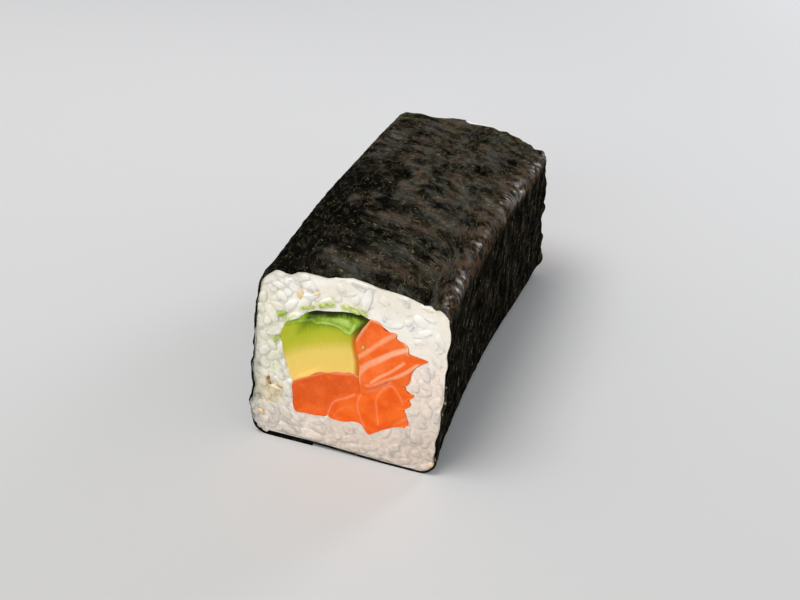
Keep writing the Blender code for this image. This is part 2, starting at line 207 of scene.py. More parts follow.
def sampleField(field, cell, a, b):
    # the field at each place, between its four nearest cells, wrapping at its edges
    a, b = a / cell, b / cell
    i, j = np.floor(a).astype(int), np.floor(b).astype(int)
    u, v = a - i, b - j
    i, j = i % field.shape[0], j % field.shape[1]
    nextI, nextJ = (i + 1) % field.shape[0], (j + 1) % field.shape[1]
    low = field[i, j] * (1 - u) + field[nextI, j] * u
    high = field[i, nextJ] * (1 - u) + field[nextI, nextJ] * u
    return low * (1 - v) + high * v


# how far along the sheet each column lies, in millimetres from the middle of the upper right edge
middleSection = wrappedSection(np.array([0.5]))[0][0]
columnPlace = np.concatenate([[0], np.cumsum(np.linalg.norm(np.diff(middleSection, axis=0), axis=1))])
ridgeColumn = (roll["lapSteps"] + roll["restSteps"] + roll["arcSteps"]["bottomRight"]
               + roll["sideSteps"]["topRight"] + roll["arcSteps"]["topRight"] // 2)
columnPlace -= columnPlace[ridgeColumn]
bulgeCell = 0.5
bulgeField = softField(*sheet["field"], bulgeCell, 1.0, 9)


def gridQuads(rows, columns, closedRows=False, closedColumns=False):
    # the quads of a grid of points stored row by row
    i = np.arange(rows if closedRows else rows - 1)[:, None]
    j = np.arange(columns if closedColumns else columns - 1)[None]
    nextI, nextJ = (i + 1) % rows, (j + 1) % columns
    corners = [i * columns + j, i * columns + nextJ, nextI * columns + nextJ, nextI * columns + j]
    return np.stack(np.broadcast_arrays(*corners), axis=2).reshape(-1, 4)


def newPiece(name, points, quads, triangles=None, nodes=(), sharp=50, values=None):
    # a closed mesh from arrays in millimetres, its faces turned outwards if its volume comes out negative
    triangles = np.zeros((0, 3), int) if triangles is None else triangles
    loose = np.concatenate([quads[:, [0, 1, 2]], quads[:, [0, 2, 3]], triangles])
    corners = points[loose]
    if np.einsum("ij,ij->", corners[:, 0], np.cross(corners[:, 1], corners[:, 2])) < 0:
        quads, triangles = quads[:, ::-1], triangles[:, ::-1]
    mesh = bpy.data.meshes.new(name)
    mesh.vertices.add(len(points))
    mesh.vertices.foreach_set("co", (points * mm).astype(np.float32).ravel())
    indices = np.concatenate([quads.ravel(), triangles.ravel()])
    starts = np.concatenate([np.arange(len(quads)) * 4, len(quads) * 4 + np.arange(len(triangles)) * 3])
    mesh.loops.add(len(indices))
    mesh.loops.foreach_set("vertex_index", indices.astype(np.int32))
    mesh.polygons.add(len(starts))
    mesh.polygons.foreach_set("loop_start", starts.astype(np.int32))
    mesh.update(calc_edges=True)
    mesh.validate()
    mesh.shade_smooth()
    mesh.set_sharp_from_angle(angle=math.radians(sharp))
    for label, numbers in (values or {}).items():
        attribute = mesh.attributes.new(label, "FLOAT", "POINT")
        attribute.data.foreach_set("value", numbers.astype(np.float32).ravel())
    piece = bpy.data.objects.new(name, mesh)
    bpy.context.scene.collection.objects.link(piece)
    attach(piece, "root")
    if nodes:
        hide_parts(*nodes)
    print(name, len(loose), "triangles")
    return piece


def tornBack(points, turn):
    # how much of the sheet is missing at its far edge: waves, a strip torn off on top, and a ragged line
    waves = sheet["tornEdge"] * (0.5 + 0.3 * np.sin(3 * turn + 0.6) + 0.2 * np.sin(7 * turn))
    x, z = points[:, 0], points[:, 1]
    start, end = sheet["tearSpan"]
    strip = smoothStep((x - start) / sheet["tearStep"]) * np.clip((end - x) / (end - start), 0, 1)
    strip = strip * (z > sheet["tearAbove"])
    ragged = np.sin(41 * turn + 2 * np.sin(13 * turn)) * np.sin(17 * turn + 1.0)
    return waves + sheet["tearDepth"] * strip + sheet["ragged"] * (1 + ragged) / 2


def ribs(around, y, wander):
    # folds across the upper right edge: a wave along the roll that wanders, narrowed to crests, and faded
    # out to both sides of the edge
    phase = y / sheet["ribSpacing"] + sheet["ribLean"] * around + sheet["ribDrift"] * wander
    wave = 0.5 + 0.5 * np.cos(2 * math.pi * phase)
    down, over = sheet["ribReach"]
    reach = np.where(around < 0, around / down, around / over)
    return wave ** sheet["ribSharpness"] * (1 - smoothStep(reach)) * (0.5 + 0.5 * np.clip(wander, -1, 1))


def sheetNoise(cell, size, seed, place):
    # smooth noise of one size over the sheet, read at each place
    return sampleField(softField(*sheet["field"], cell, size, seed), cell, *place)


def addNori():
    # The sheet over two parameters, round the roll and along it: the wrapped section moved along its normals
    # by the swell, the bumps over the grains and the folds, and drawn back at both its ends.
    along = np.linspace(0, 1, sheet["rows"])
    points, normals, inset = wrappedSection(along)
    y = np.broadcast_to(((along - 0.5) * roll["length"])[:, None], points.shape[:2])
    around = np.broadcast_to(columnPlace, y.shape)
    place = onSheet(around, y)
    bumpCell = 0.25
    grains = grainField(*sheet["field"], bumpCell, sheet["bumpSpacing"], 5)
    bumps = sampleField(grains, bumpCell, *place) - 0.8
    fine = sheetNoise(bumpCell, sheet["fineSize"], 6, place)
    folds = ribs(around, y, sheetNoise(0.5, sheet["ribWander"], 7, place))
    calm = smoothStep(points[..., 1] / sheet["flatBelow"] - 0.3)
    height = sheet["riceBump"] * bumps + sheet["fineBump"] * fine + sheet["ribHeight"] * folds
    out = swell(points, y) - inset + height * calm
    turn = np.linspace(0, 2 * math.pi, points.shape[1])
    missing = tornBack(points[-1], turn) * smoothStep((along[:, None] - 1) / sheet["tornZone"] + 1)
    drawnBack = sheet["frontEdge"] * np.clip(0.8 + sheetNoise(0.5, sheet["frontSize"], 8, place), 0, 2)
    depth = y - missing + drawnBack * smoothStep(1 - along[:, None] / sheet["frontZone"]) * calm

    def layer(offset):
        return standing(points + normals * (out + offset)[..., None], depth)

    # the inner face is coarser: it takes every third column, so each rim goes in steps of four triangles
    thin = sheet["innerStep"]
    inner = layer(-sheet["thickness"])[:, ::-thin]
    loop = np.concatenate([layer(0), inner], axis=1)
    count, total = points.shape[1], loop.shape[1]
    quads = gridQuads(len(along), total, closedColumns=True)
    k = np.arange(0, count - 1, thin)
    facing = total - 1 - k // thin
    steps = ((k, k + 1, facing), (k + 1, k + 2, facing), (k + 2, facing - 1, facing),
             (k + 2, k + 3, facing - 1))
    rim = np.concatenate([np.stack(step, axis=1) for step in steps])
    triangles = np.concatenate([rim[:, ::-1], rim + (len(along) - 1) * total])
    values = {label: np.concatenate([field, field[:, ::-thin]], axis=1)
              for label, field in (("around", around), ("folds", folds))}
    return newPiece("noriSheet", loop.reshape(-1, 3), quads, triangles, ["nori"], 55, values)


# The four fillings as seen on the front cut face, in x and z. Neighbours share their points, and the corners
# are then rounded off.
avocadoToLeft = ((-13.0, 16.8), (-11.4, 18.0), (-9.0, 19.2), (-7.0, 20.5), (-4.6, 21.6), (-1.6, 22.2),
                 (1.2, 22.7), (3.2, 22.6))
avocadoToUpper = ((3.2, 22.6), (3.1, 25.6), (2.7, 28.0), (2.3, 30.0), (2.3, 31.8), (3.1, 33.7), (4.2, 35.8),
                  (5.3, 37.9))
leftToRight = ((3.8, 18.0), (2.2, 17.2), (0.3, 15.9), (-1.6, 14.8), (-3.0, 13.5), (-3.7, 11.4), (-4.3, 9.4))
rightToUpper = ((3.8, 18.0), (5.6, 18.9), (7.6, 20.2), (9.6, 21.9), (11.0, 22.8), (12.6, 22.9), (13.8, 22.6))
fillings = {
    "outlines": {
        "avocado": (
            *avocadoToLeft, *avocadoToUpper[1:], (3.0, 38.8), (0.0, 38.5), (-2.6, 37.9), (-5.6, 37.2),
            (-8.0, 36.7), (-9.4, 36.0), (-10.4, 34.9), (-11.6, 33.9), (-13.2, 33.0), (-14.4, 31.9),
            (-15.4, 30.9), (-15.7, 28.8), (-15.3, 25.8), (-14.4, 22.4), (-13.5, 19.4),
        ),
        "salmon_upper": (
            *rightToUpper, (14.7, 23.4), (15.1, 24.6), (14.9, 25.8), (15.7, 27.5), (16.9, 29.1),
            (18.8, 30.3), (18.8, 30.4), (16.8, 30.8), (14.3, 31.0), (14.3, 32.2), (14.1, 33.3), (12.6, 33.6),
            (11.3, 34.4), (11.7, 35.6), (9.9, 35.3), (8.7, 35.9), (8.0, 37.6), (6.4, 37.8),
            *avocadoToUpper[:0:-1], (3.3, 22.6),
        ),
        "salmon_right": (
            *rightToUpper[::-1], *leftToRight[1:], (-2.2, 8.9), (-0.5, 9.1), (1.8, 10.0), (4.2, 9.9),
            (5.1, 8.7), (6.1, 7.0), (7.6, 8.4), (9.9, 9.7), (11.8, 10.8), (13.8, 11.6), (15.6, 10.9),
            (15.3, 12.6), (15.1, 14.6), (14.7, 15.7), (13.9, 16.4), (14.2, 16.9), (15.9, 17.9), (15.3, 18.8),
            (14.9, 19.4), (16.7, 20.6), (14.9, 20.9), (14.4, 21.8),
        ),
        "salmon_left": (
            *avocadoToLeft[::-1], (-13.1, 15.4), (-12.9, 13.0), (-12.6, 10.4), (-12.3, 8.5), (-10.6, 8.6),
            (-8.0, 8.8), (-5.8, 9.2), *leftToRight[::-1],
        ),
    },
    "recess": {"avocado": 0.30, "salmon_upper": 0.08, "salmon_right": 0.10, "salmon_left": 0.14},
    "centre": (0.5, 22.9), "turnDegrees": -5.0, "shrink": 0.05, "drift": (0.6, -1.2),
    "rimRadius": 0.06, "around": 260, "rings": 52, "lengthSteps": 8, "waviness": 0.16, "flatRim": 2.0,
    "lineHeight": {"avocado": 0.15, "salmon": -0.1}, "junction": (3.4, 20.4), "junctionRadius": 4.0,
    "wander": 0.13,
}

# Fat lines and edges on the salmon: half width at the start and the end, strength at the start and the end,
# and the way between.
leftToRightEdge = ((-4.3, 9.3), (-3.7, 11.4), (-3.0, 13.5), (-1.6, 14.8), (0.4, 15.9), (2.2, 17.2))
fatLines = {
    "salmon_upper": (
        (0.50, 0.60, 0.50, 0.55, ((2.6, 27.2), (5.7, 30.2), (7.6, 32.2), (9.2, 33.7), (11.6, 35.6))),
        (0.80, 0.62, 0.50, 1.00, ((2.9, 23.2), (4.9, 25.8), (7.6, 27.9), (9.9, 29.8), (12.2, 31.2),
                                  (15.0, 32.6))),
        (0.36, 0.36, 0.55, 0.60, ((6.3, 21.8), (8.0, 23.7), (9.9, 25.2), (11.7, 26.8), (13.4, 28.6))),
        (0.34, 0.48, 0.28, 0.75, ((5.1, 20.6), (7.6, 21.8), (9.5, 23.3), (11.5, 24.5), (13.8, 26.2),
                                  (16.6, 28.8))),
        (0.28, 0.28, 0.22, 0.35, ((5.3, 18.9), (7.4, 20.3), (9.6, 22.0), (10.8, 22.9))),
        (0.40, 0.50, 0.40, 0.60, ((2.4, 31.9), (3.2, 33.6), (4.3, 35.8), (5.4, 37.7), (8.2, 37.4))),
        (0.30, 0.30, 0.50, 0.50, ((3.4, 20.6), (3.4, 23.2), (3.3, 25.6))),
        (0.30, 0.40, 0.40, 0.70, ((14.1, 31.0), (14.2, 32.4), (13.6, 33.4))),
    ),
    "salmon_right": (
        (0.24, 0.24, 0.55, 0.50, ((3.9, 17.9), (3.1, 14.8), (3.8, 11.8), (5.0, 9.2))),
        (0.26, 0.30, 0.45, 0.60, ((8.3, 10.6), (7.8, 14.1), (7.6, 17.2), (8.5, 19.8), (9.6, 21.6))),
        (0.55, 0.30, 0.75, 0.50, ((9.3, 21.0), (10.2, 21.9), (11.2, 22.0), (12.0, 21.2))),
        (0.28, 0.24, 0.55, 0.50, ((11.4, 22.0), (13.0, 19.6), (13.7, 17.6))),
        (0.30, 0.34, 0.30, 0.60, ((12.0, 11.6), (13.6, 13.0), (15.4, 14.8))),
        (0.30, 0.30, 0.30, 0.50, ((13.2, 11.4), (15.6, 12.2))),
        (0.26, 0.34, 0.60, 0.60, leftToRightEdge),
        (0.30, 0.30, 0.25, 0.30, ((-2.4, 10.2), (-0.8, 12.6), (1.6, 13.8))),
        (0.30, 0.30, 0.30, 0.50, ((5.4, 18.7), (7.6, 20.1), (9.6, 21.8))),
    ),
    "salmon_left": (
        (0.30, 0.42, 0.40, 0.55, ((-13.2, 16.8), (-9.0, 19.1), (-4.6, 21.5), (-1.6, 22.1), (1.2, 22.6),
                                  (3.2, 22.5))),
        (0.22, 0.30, 0.45, 0.50, leftToRightEdge),
    ),
}

# The avocado's skin side as a height over x, the width of the painted shade along its side next to the upper
# salmon strip, the scalloped lower edge of its green part, and the pale glossy streaks, which carry painted
# highlights, given as the fat lines are.
avocadoLook = {
    "topHeight": 38.5, "topAt": 3.0, "topFall": 0.0205, "sideShadeWidth": 1.15,
    "lobeEdge": ((-16.0, 30.6), (-14.6, 31.3), (-13.4, 32.0), (-11.6, 32.9), (-9.7, 33.5), (-8.2, 34.1),
                 (-7.0, 33.4), (-5.6, 33.8), (-3.6, 33.9), (-1.6, 33.6), (-0.4, 32.9), (0.8, 32.5),
                 (1.5, 33.3), (2.2, 34.4), (4.0, 35.0)),
    "lobeRise": 0.4, "lobeSlope": 0.7, "lobeWaves": (0.12, 2.9),
    "streaks": (
        (0.40, 0.30, 0.12, 0.55, ((-14.8, 31.6), (-11.6, 33.2), (-9.7, 33.9), (-8.2, 34.5), (-7.0, 33.9),
                                  (-5.6, 34.3))),
        (0.30, 0.44, 0.75, 0.90, ((-5.6, 34.3), (-3.6, 34.4), (-1.6, 34.1), (-0.4, 33.4), (0.8, 33.0),
                                  (1.4, 33.9), (1.9, 35.2))),
        (0.45, 0.95, 0.40, 1.00, ((-5.6, 35.3), (-3.2, 35.4), (-1.4, 35.6), (0.4, 35.4))),
        (0.40, 0.50, 0.10, 0.20, ((-9.0, 35.3), (-6.8, 35.6), (-5.0, 36.1))),
    ),
}


def lobe(flat):
    # 1 on the avocado's skin side and 0 below its scalloped lower edge
    edge = np.array(avocadoLook["lobeEdge"])
    height, rate = avocadoLook["lobeWaves"]
    line = np.interp(flat[..., 0], edge[:, 0], edge[:, 1]) + height * np.sin(rate * flat[..., 0])
    return smoothStep((flat[..., 1] - line) / avocadoLook["lobeSlope"] + 0.5)


wanderFields = [softField(64, 64, 0.25, 0.9, seed) for seed in (41, 42)]


def evenOutline(corners, count):
    # a closed outline with its corners cut off again and again, but for those where the four fillings meet,
    # then moved a little by soft noise that neighbours share, and walked round in equal steps
    points = np.array(corners, float)
    for _ in range(5):
        after = np.roll(points, -1, axis=0)
        away = np.linalg.norm(points - np.array(fillings["junction"]), axis=1, keepdims=True)
        kept = away < fillings["junctionRadius"]
        first = np.where(kept, points, 0.75 * points + 0.25 * after)
        second = np.where(np.roll(kept, -1, axis=0), after, 0.25 * points + 0.75 * after)
        points = np.stack([first, second], axis=1).reshape(-1, 2)
    place = points[:, 0] + 32, points[:, 1] + 8
    moves = [sampleField(field, 0.25, *place) for field in wanderFields]
    points += fillings["wander"] * np.stack(moves, axis=1)
    closed = np.vstack([points, points[:1]])
    walked = np.concatenate([[0], np.cumsum(np.linalg.norm(np.diff(closed, axis=0), axis=1))])
    at = np.linspace(0, walked[-1], count, endpoint=False)
    even = np.stack([np.interp(at, walked, closed[:, 0]), np.interp(at, walked, closed[:, 1])], axis=1)
    x, z = even[:, 0], even[:, 1]
    return even if np.sum(x * np.roll(z, -1) - np.roll(x, -1) * z) > 0 else even[::-1]


def carried(flat, y):
    # points of the front face carried to y: turned about the bundle's centre, shrunk and shifted by the
    # share of the length
    along = (y / roll["length"] + 0.5)[..., None]
    angle = np.radians(fillings["turnDegrees"]) * along[..., 0]
    centre = np.array(fillings["centre"])
    moved = turned(flat - centre, angle) * (1 - fillings["shrink"] * along) + centre
    return moved + np.array(fillings["drift"]) * along


def lineDistance(flat, line):
    # the distance of each point from a line through a few points, rounded by a cubic through them, and how
    # far along it the nearest place is, 0 to 1
    line = np.array(line, float)
    at = np.linspace(0, len(line) - 1, 10 * len(line))
    i = np.clip(at.astype(int), 0, len(line) - 2)
    t = (at - i)[:, None]
    p0, p1, p2, p3 = (line[np.clip(i + k, 0, len(line) - 1)] for k in (-1, 0, 1, 2))
    curve = 0.5 * (2 * p1 + (p2 - p0) * t + (2 * p0 - 5 * p1 + 4 * p2 - p3) * t ** 2
                   + (3 * p1 - p0 - 3 * p2 + p3) * t ** 3)
    start, side = curve[:-1], np.diff(curve, axis=0)
    rel = flat[..., None, :] - start
    share = np.clip(np.sum(rel * side, axis=-1) / np.sum(side * side, axis=-1), 0, 1)
    away = np.linalg.norm(rel - share[..., None] * side, axis=-1)
    return away.min(axis=-1), away.argmin(axis=-1) / (len(start) - 1)


def linesMask(flat, lines):
    # 0 away from the lines and up to each line's strength on it, falling off as a bell of its half width
    mask = np.zeros(flat.shape[:-1])
    for firstWidth, lastWidth, firstStrength, lastStrength, line in lines:
        away, share = lineDistance(flat, line)
        width = firstWidth + (lastWidth - firstWidth) * share
        strength = firstStrength + (lastStrength - firstStrength) * share
        mask = np.maximum(mask, strength * np.exp(-(away / width) ** 4))
    return mask


def addFilling(node, name, slot, ripple):
    # A filling is a skin over two parameters: round the outline, and from the middle of the front face out
    # to its rim, along the roll and in to the middle of the back face. The rims are quarter rounds, and the
    # faces are raised by soft waves, the lines and the avocado's lobe.
    outline = evenOutline(fillings["outlines"][node], fillings["around"])
    lines = fatLines.get(node) or avocadoLook["streaks"]
    centre = outline.mean(axis=0)
    spoke = np.linalg.norm(outline - centre, axis=1)
    radius = fillings["rimRadius"]
    rim = radius * (1 - np.cos(np.linspace(0, math.pi / 2, 6)))
    drop = radius - np.sqrt(np.clip(radius ** 2 - (radius - rim) ** 2, 0, None))
    share = np.linspace(1, 0, fillings["rings"])[:, None]
    inner = (1 - radius / spoke) * share
    rings = np.concatenate([1 - rim[:-1, None] / spoke, inner])
    drops = np.concatenate([drop[:-1], np.zeros(len(inner))])
    flat = centre + (outline - centre) * rings[..., None]
    inward = np.clip((rings * -spoke + spoke) / fillings["flatRim"], 0, 1)
    raised = fillings["lineHeight"][slot] * linesMask(flat, lines)
    if node == "avocado":
        raised = raised + avocadoLook["lobeRise"] * (lobe(flat) - 0.5)
    waves = softField(60, 60, 0.5, 2.2, ripple)
    reach = roll["length"] / 2 - fillings["recess"][node]
    faces, homes = [], []
    for end in (-1, 1):
        rise = fillings["waviness"] * sampleField(waves, 0.5, flat[..., 0] + 30 + 7 * end, flat[..., 1])
        y = end * (reach - drops[:, None] + (rise + raised) * inward)
        face = standing(carried(flat, y), y)
        faces.append(face[::-1] if end < 0 else face)
        homes.append(flat[::-1] if end < 0 else flat)
    steps = np.linspace(-1, 1, fillings["lengthSteps"] + 2)[1:-1]
    y = np.broadcast_to((steps * reach)[:, None], (len(steps), len(outline)))
    wall = np.broadcast_to(outline, (len(steps), *outline.shape))
    grid = np.concatenate([faces[0][1:], standing(carried(wall, y), y), faces[1][:-1]])
    home = np.concatenate([homes[0][1:], wall, homes[1][:-1]])
    count, rows = len(outline), len(grid)
    points = np.concatenate([grid.reshape(-1, 3), faces[0][:1, 0], faces[1][-1:, 0]])
    home = np.concatenate([home.reshape(-1, 2), homes[0][:1, 0], homes[1][-1:, 0]])
    quads = gridQuads(rows, count, closedColumns=True)
    i = np.arange(count)
    nextI = (i + 1) % count
    first = np.stack([nextI, i, np.full(count, rows * count)], axis=1)
    lastRow = (rows - 1) * count
    last = np.stack([i + lastRow, nextI + lastRow, np.full(count, rows * count + 1)], axis=1)
    x, z = home[:, 0], home[:, 1]
    below = avocadoLook["topHeight"] - avocadoLook["topFall"] * (x - avocadoLook["topAt"]) ** 2 - z
    # the band along the edge that meets the upper salmon strip, where the finish paints shade
    wide = avocadoLook["sideShadeWidth"]
    side = linesMask(home, ((wide, wide, 1.0, 1.0, avocadoToUpper),))
    values = {"lines": linesMask(home, lines), "below": below, "side": side, "lobe": lobe(home),
              "homeX": x, "homeZ": z}
    return newPiece(name, points, quads, np.concatenate([first, last]), [node], 60, values)


# Cooked rice: the core behind the faces, and the grains on them. In coreRecess, steep and flush the first
# number is for loose rice and the second for pressed rice, which lies flush with the cut. Hollows are x, z,
# radius and depth, and no grain lies in one. The tornFrom pairs are where the undercut starts and over how
# much it grows. Stains are given as the fat lines are.
rice = {
    "restGap": 0.06, "coreRecess": (0.60, 0.23), "coreRelief": 0.2, "coreRings": 30, "coreLengthSteps": 40,
    "pits": 0.7, "pitsWithin": 2.6,
    "length": 6.4, "width": 3.7, "thickness": 2.9, "spread": 0.2, "rings": 9, "segments": 14,
    "bluntness": 0.75, "bend": 0.18, "taper": 0.12,
    "layers": (
        {"spacing": 2.2, "tries": 12000, "depth": (0.85, 1.3), "steep": (0.32, 0.0), "seed": 3},
        {"spacing": 2.5, "tries": 5000, "depth": (1.5, 2.3), "steep": (0.2, 0.0), "seed": 8},
    ),
    "flatPitch": (-0.3, 0.3), "steepPitch": (0.7, 1.5), "steepDepth": 1.2,
    "flush": (0.52, 0.38), "softCut": 0.33, "cutTilt": 0.10,
    "edgeRoom": 0.4, "tipRoom": -0.5, "tipShare": 0.42, "hollowRoom": 0.7,
    "levels": 8, "dentFrom": 1.6, "dentRoom": 0.2,
    "tornRoom": 0.5, "tornFrom": {"height": (38, 4), "left": (3, 7), "right": (4, 8)},
    "pressedFrom": -17.0, "pressedOver": 16.0, "looseBelow": 9.0, "looseShare": 0.6,
    "hollows": ((-21.9, 9.8, 1.1, 1.3), (-22.6, 25.4, 0.8, 1.3), (-22.4, 30.6, 0.7, 1.0),
                (-21.4, 19.0, 0.9, 1.1), (5.2, 38.9, 0.9, 0.0)),
    "stains": (
        (0.80, 0.70, 0.9, 0.9, ((-15.9, 34.2), (-14.6, 34.5))),
        (0.70, 0.60, 0.6, 0.6, ((-14.9, 32.6), (-12.4, 34.4))),
        (0.60, 0.50, 0.7, 0.8, ((-10.6, 36.9), (-7.6, 37.7))),
        (0.90, 0.80, 0.7, 0.8, ((-6.3, 38.7), (-3.2, 39.3))),
        (0.60, 0.55, 0.4, 0.4, ((-4.4, 40.2), (-2.6, 41.2))),
        (0.80, 0.70, 0.9, 0.9, ((-0.8, 39.3), (4.3, 39.0))),
        (0.90, 0.70, 0.7, 0.5, ((-17.4, 27.2), (-15.9, 27.9))),
        (0.90, 0.90, 0.35, 0.35, ((-16.9, 22.0), (-16.0, 24.6))),
        (0.60, 0.50, 0.45, 0.3, ((-17.6, 18.8), (-17.0, 20.4))),
        (0.70, 0.70, 0.3, 0.3, ((2.0, 40.9), (4.4, 40.2))),
    ),
}


def nearestOn(flat, outline):
    # the signed distance from each point to a closed outline, positive inside, and the nearest place on it
    after = np.roll(outline, -1, axis=0)
    side = after - outline
    rel = flat[:, None] - outline
    share = np.clip(np.einsum("ijk,jk->ij", rel, side) / np.sum(side * side, axis=1), 0, 1)
    rel -= share[..., None] * side
    away = np.einsum("ijk,ijk->ij", rel, rel)
    best = np.argmin(away, axis=1)[:, None]
    nearest = flat - np.take_along_axis(rel, best[..., None], axis=1)[:, 0]
    above = (outline[:, 1] > flat[:, 1:]) != (after[:, 1] > flat[:, 1:])
    height = np.where(side[:, 1] == 0, 1e-9, side[:, 1])
    crossing = outline[:, 0] + (flat[:, 1:] - outline[:, 1]) / height * side[:, 0]
    inside = np.sum(above & (flat[:, :1] < crossing), axis=1) % 2 == 1
    distance = np.sqrt(np.take_along_axis(away, best, axis=1)[:, 0])
    return np.where(inside, distance, -distance), nearest


def squeezed(flat, behind, end, lines):
    # points that stray into a filling or over the sheet go back onto its outline; the sheet's is taken anew
    # for each millimetre behind the face
    moved = flat.copy()
    level = np.clip(behind, 0, rice["levels"] - 1).astype(int)
    rims = [riceSection(end, depth) for depth in range(rice["levels"] + 1)]
    for depth in range(rice["levels"]):
        found = np.flatnonzero(level == depth)
        for chunk in np.array_split(found, 1 + len(found) // 6000):
            for line in (*lines, rims[depth], rims[depth + 1]):
                distance, nearest = nearestOn(moved[chunk], line)
                stray = distance < 0 if line is rims[depth] or line is rims[depth + 1] else distance > 0
                moved[chunk] = np.where(stray[:, None], nearest, moved[chunk])
    return moved


def pressed(flat):
    # 0 where the rice is loose, on the left, to 1 where the knife has pressed it flat, a little less so
    # along the floor
    across = smoothStep((flat[..., 0] - rice["pressedFrom"]) / rice["pressedOver"])
    return across * (1 - rice["looseShare"] * smoothStep(1 - flat[..., 1] / rice["looseBelow"]))


def undercut(flat):
    # how far back the rice lies at the far end, where a strip of the sheet is torn off above it
    first, last = sheet["tearSpan"]
    (up, rise), (left, leftRise), (right, rightRise) = rice["tornFrom"].values()
    x, z = flat[..., 0], flat[..., 1]
    deep = (sheet["tearDepth"] + rice["tornRoom"] + sheet["tornEdge"]) * smoothStep((z - up) / rise)
    return deep * smoothStep((x - first + left) / leftRise) * smoothStep((last + right - x) / rightRise)


def riceLines(y):
    # the line that the rice fills inside the sheet at each y, without the lapped flap; behind the cut faces
    # it leaves room for the sheet's dents
    points, normals, inset = wrappedSection(y / roll["length"] + 0.5)
    y = np.broadcast_to(y[:, None], points.shape[:2])
    hidden = smoothStep((roll["length"] / 2 - abs(y)) / rice["dentFrom"])
    drawn = swell(points, y) - inset - sheet["thickness"] - rice["restGap"] - rice["dentRoom"] * hidden
    return (points + normals * drawn[..., None])[:, :-roll["lapSteps"] - 1]


def riceSection(end, behind=0.0):
    # that line at one end of the roll, some way behind the cut face
    return riceLines(np.array([end * (roll["length"] / 2 - behind)]))[0]


def fillingLines(end, count=150):
    # the four fillings' outlines where they meet one cut face
    y = np.full(count, end * roll["length"] / 2)
    return [carried(evenOutline(corners, count), y) for corners in fillings["outlines"].values()]


def bundleReach(lines, centre, angles):
    # the outermost filling in each direction from the bundle's centre
    rel = np.concatenate(lines) - centre
    slots = 360
    place = ((np.arctan2(rel[:, 1], rel[:, 0]) / (2 * math.pi)) % 1 * slots).astype(int)
    reach = np.zeros(slots)
    np.maximum.at(reach, place, np.linalg.norm(rel, axis=1))
    centres = (np.arange(slots) + 0.5) / slots
    return np.interp((angles / (2 * math.pi)) % 1, centres, reach, period=1)


def addRiceCore():
    # The core is a thick tube over two parameters: round the roll, and across the front face inwards, back
    # through the fillings' way, across the back face outwards and forward inside the sheet.
    relief = grainField(64, 64, 0.25, 2.4, 12)
    holes = softField(64, 64, 0.5, 1.1, 13)
    centre = np.array(fillings["centre"])
    faces = {}
    for end in (-1, 1):
        rim = riceSection(end)
        rel = rim - centre
        reach = bundleReach(fillingLines(end, 2000), centre, np.arctan2(rel[:, 1], rel[:, 0])) + 0.04
        way = centre + unit(rel) * np.minimum(reach, np.linalg.norm(rel, axis=1) - 0.5)[:, None]
        share = np.linspace(0, 1, rice["coreRings"])[:, None, None]
        flat = rim + (way - rim) * share
        deep, shallow = rice["coreRecess"]
        sunk = deep + (shallow - deep) * pressed(flat)
        place = flat[..., 0] + 32 + 5 * end, flat[..., 1] + 5
        low = np.minimum(flat[..., 0] + 23.5, flat[..., 1] - 0.5 + 12 * smoothStep((flat[..., 0] + 4) / 12))
        pit = np.clip(sampleField(holes, 0.5, *place), 0, 1.5) * (1 - smoothStep(low / rice["pitsWithin"]))
        sunk = sunk + rice["pits"] * pit
        if end < 0:
            for x, z, radius, depth in rice["hollows"]:
                sunk = sunk + depth * smoothStep(1.2 - np.hypot(flat[..., 0] - x, flat[..., 1] - z) / radius)
        else:
            sunk = sunk + undercut(flat)
        bumps = sampleField(relief, 0.25, *place)
        y = end * (roll["length"] / 2 - sunk - rice["coreRelief"] * (1 - bumps) * (1 - 0.6 * pressed(flat)))
        faces[end] = standing(flat, y)
    share = 0.5 - 0.5 * np.cos(np.linspace(0, math.pi, rice["coreLengthSteps"] + 1))[1:-1]
    inner = faces[-1][-1] + (faces[1][-1] - faces[-1][-1]) * share[:, None, None]
    y = (share - 0.5) * roll["length"]
    outer = standing(riceLines(y), y[:, None])
    grid = np.concatenate([faces[-1], inner, faces[1][::-1], outer[::-1]])
    quads = gridQuads(grid.shape[0], grid.shape[1], closedRows=True, closedColumns=True)
    stain = linesMask(grid[..., ::2], rice["stains"]) * (grid[..., 1] < 0)
    values = {"tone": np.full(grid.shape[:2], -0.3), "stain": stain}
    return newPiece("riceCore", grid.reshape(-1, 3), quads, nodes=["rice"], values=values)


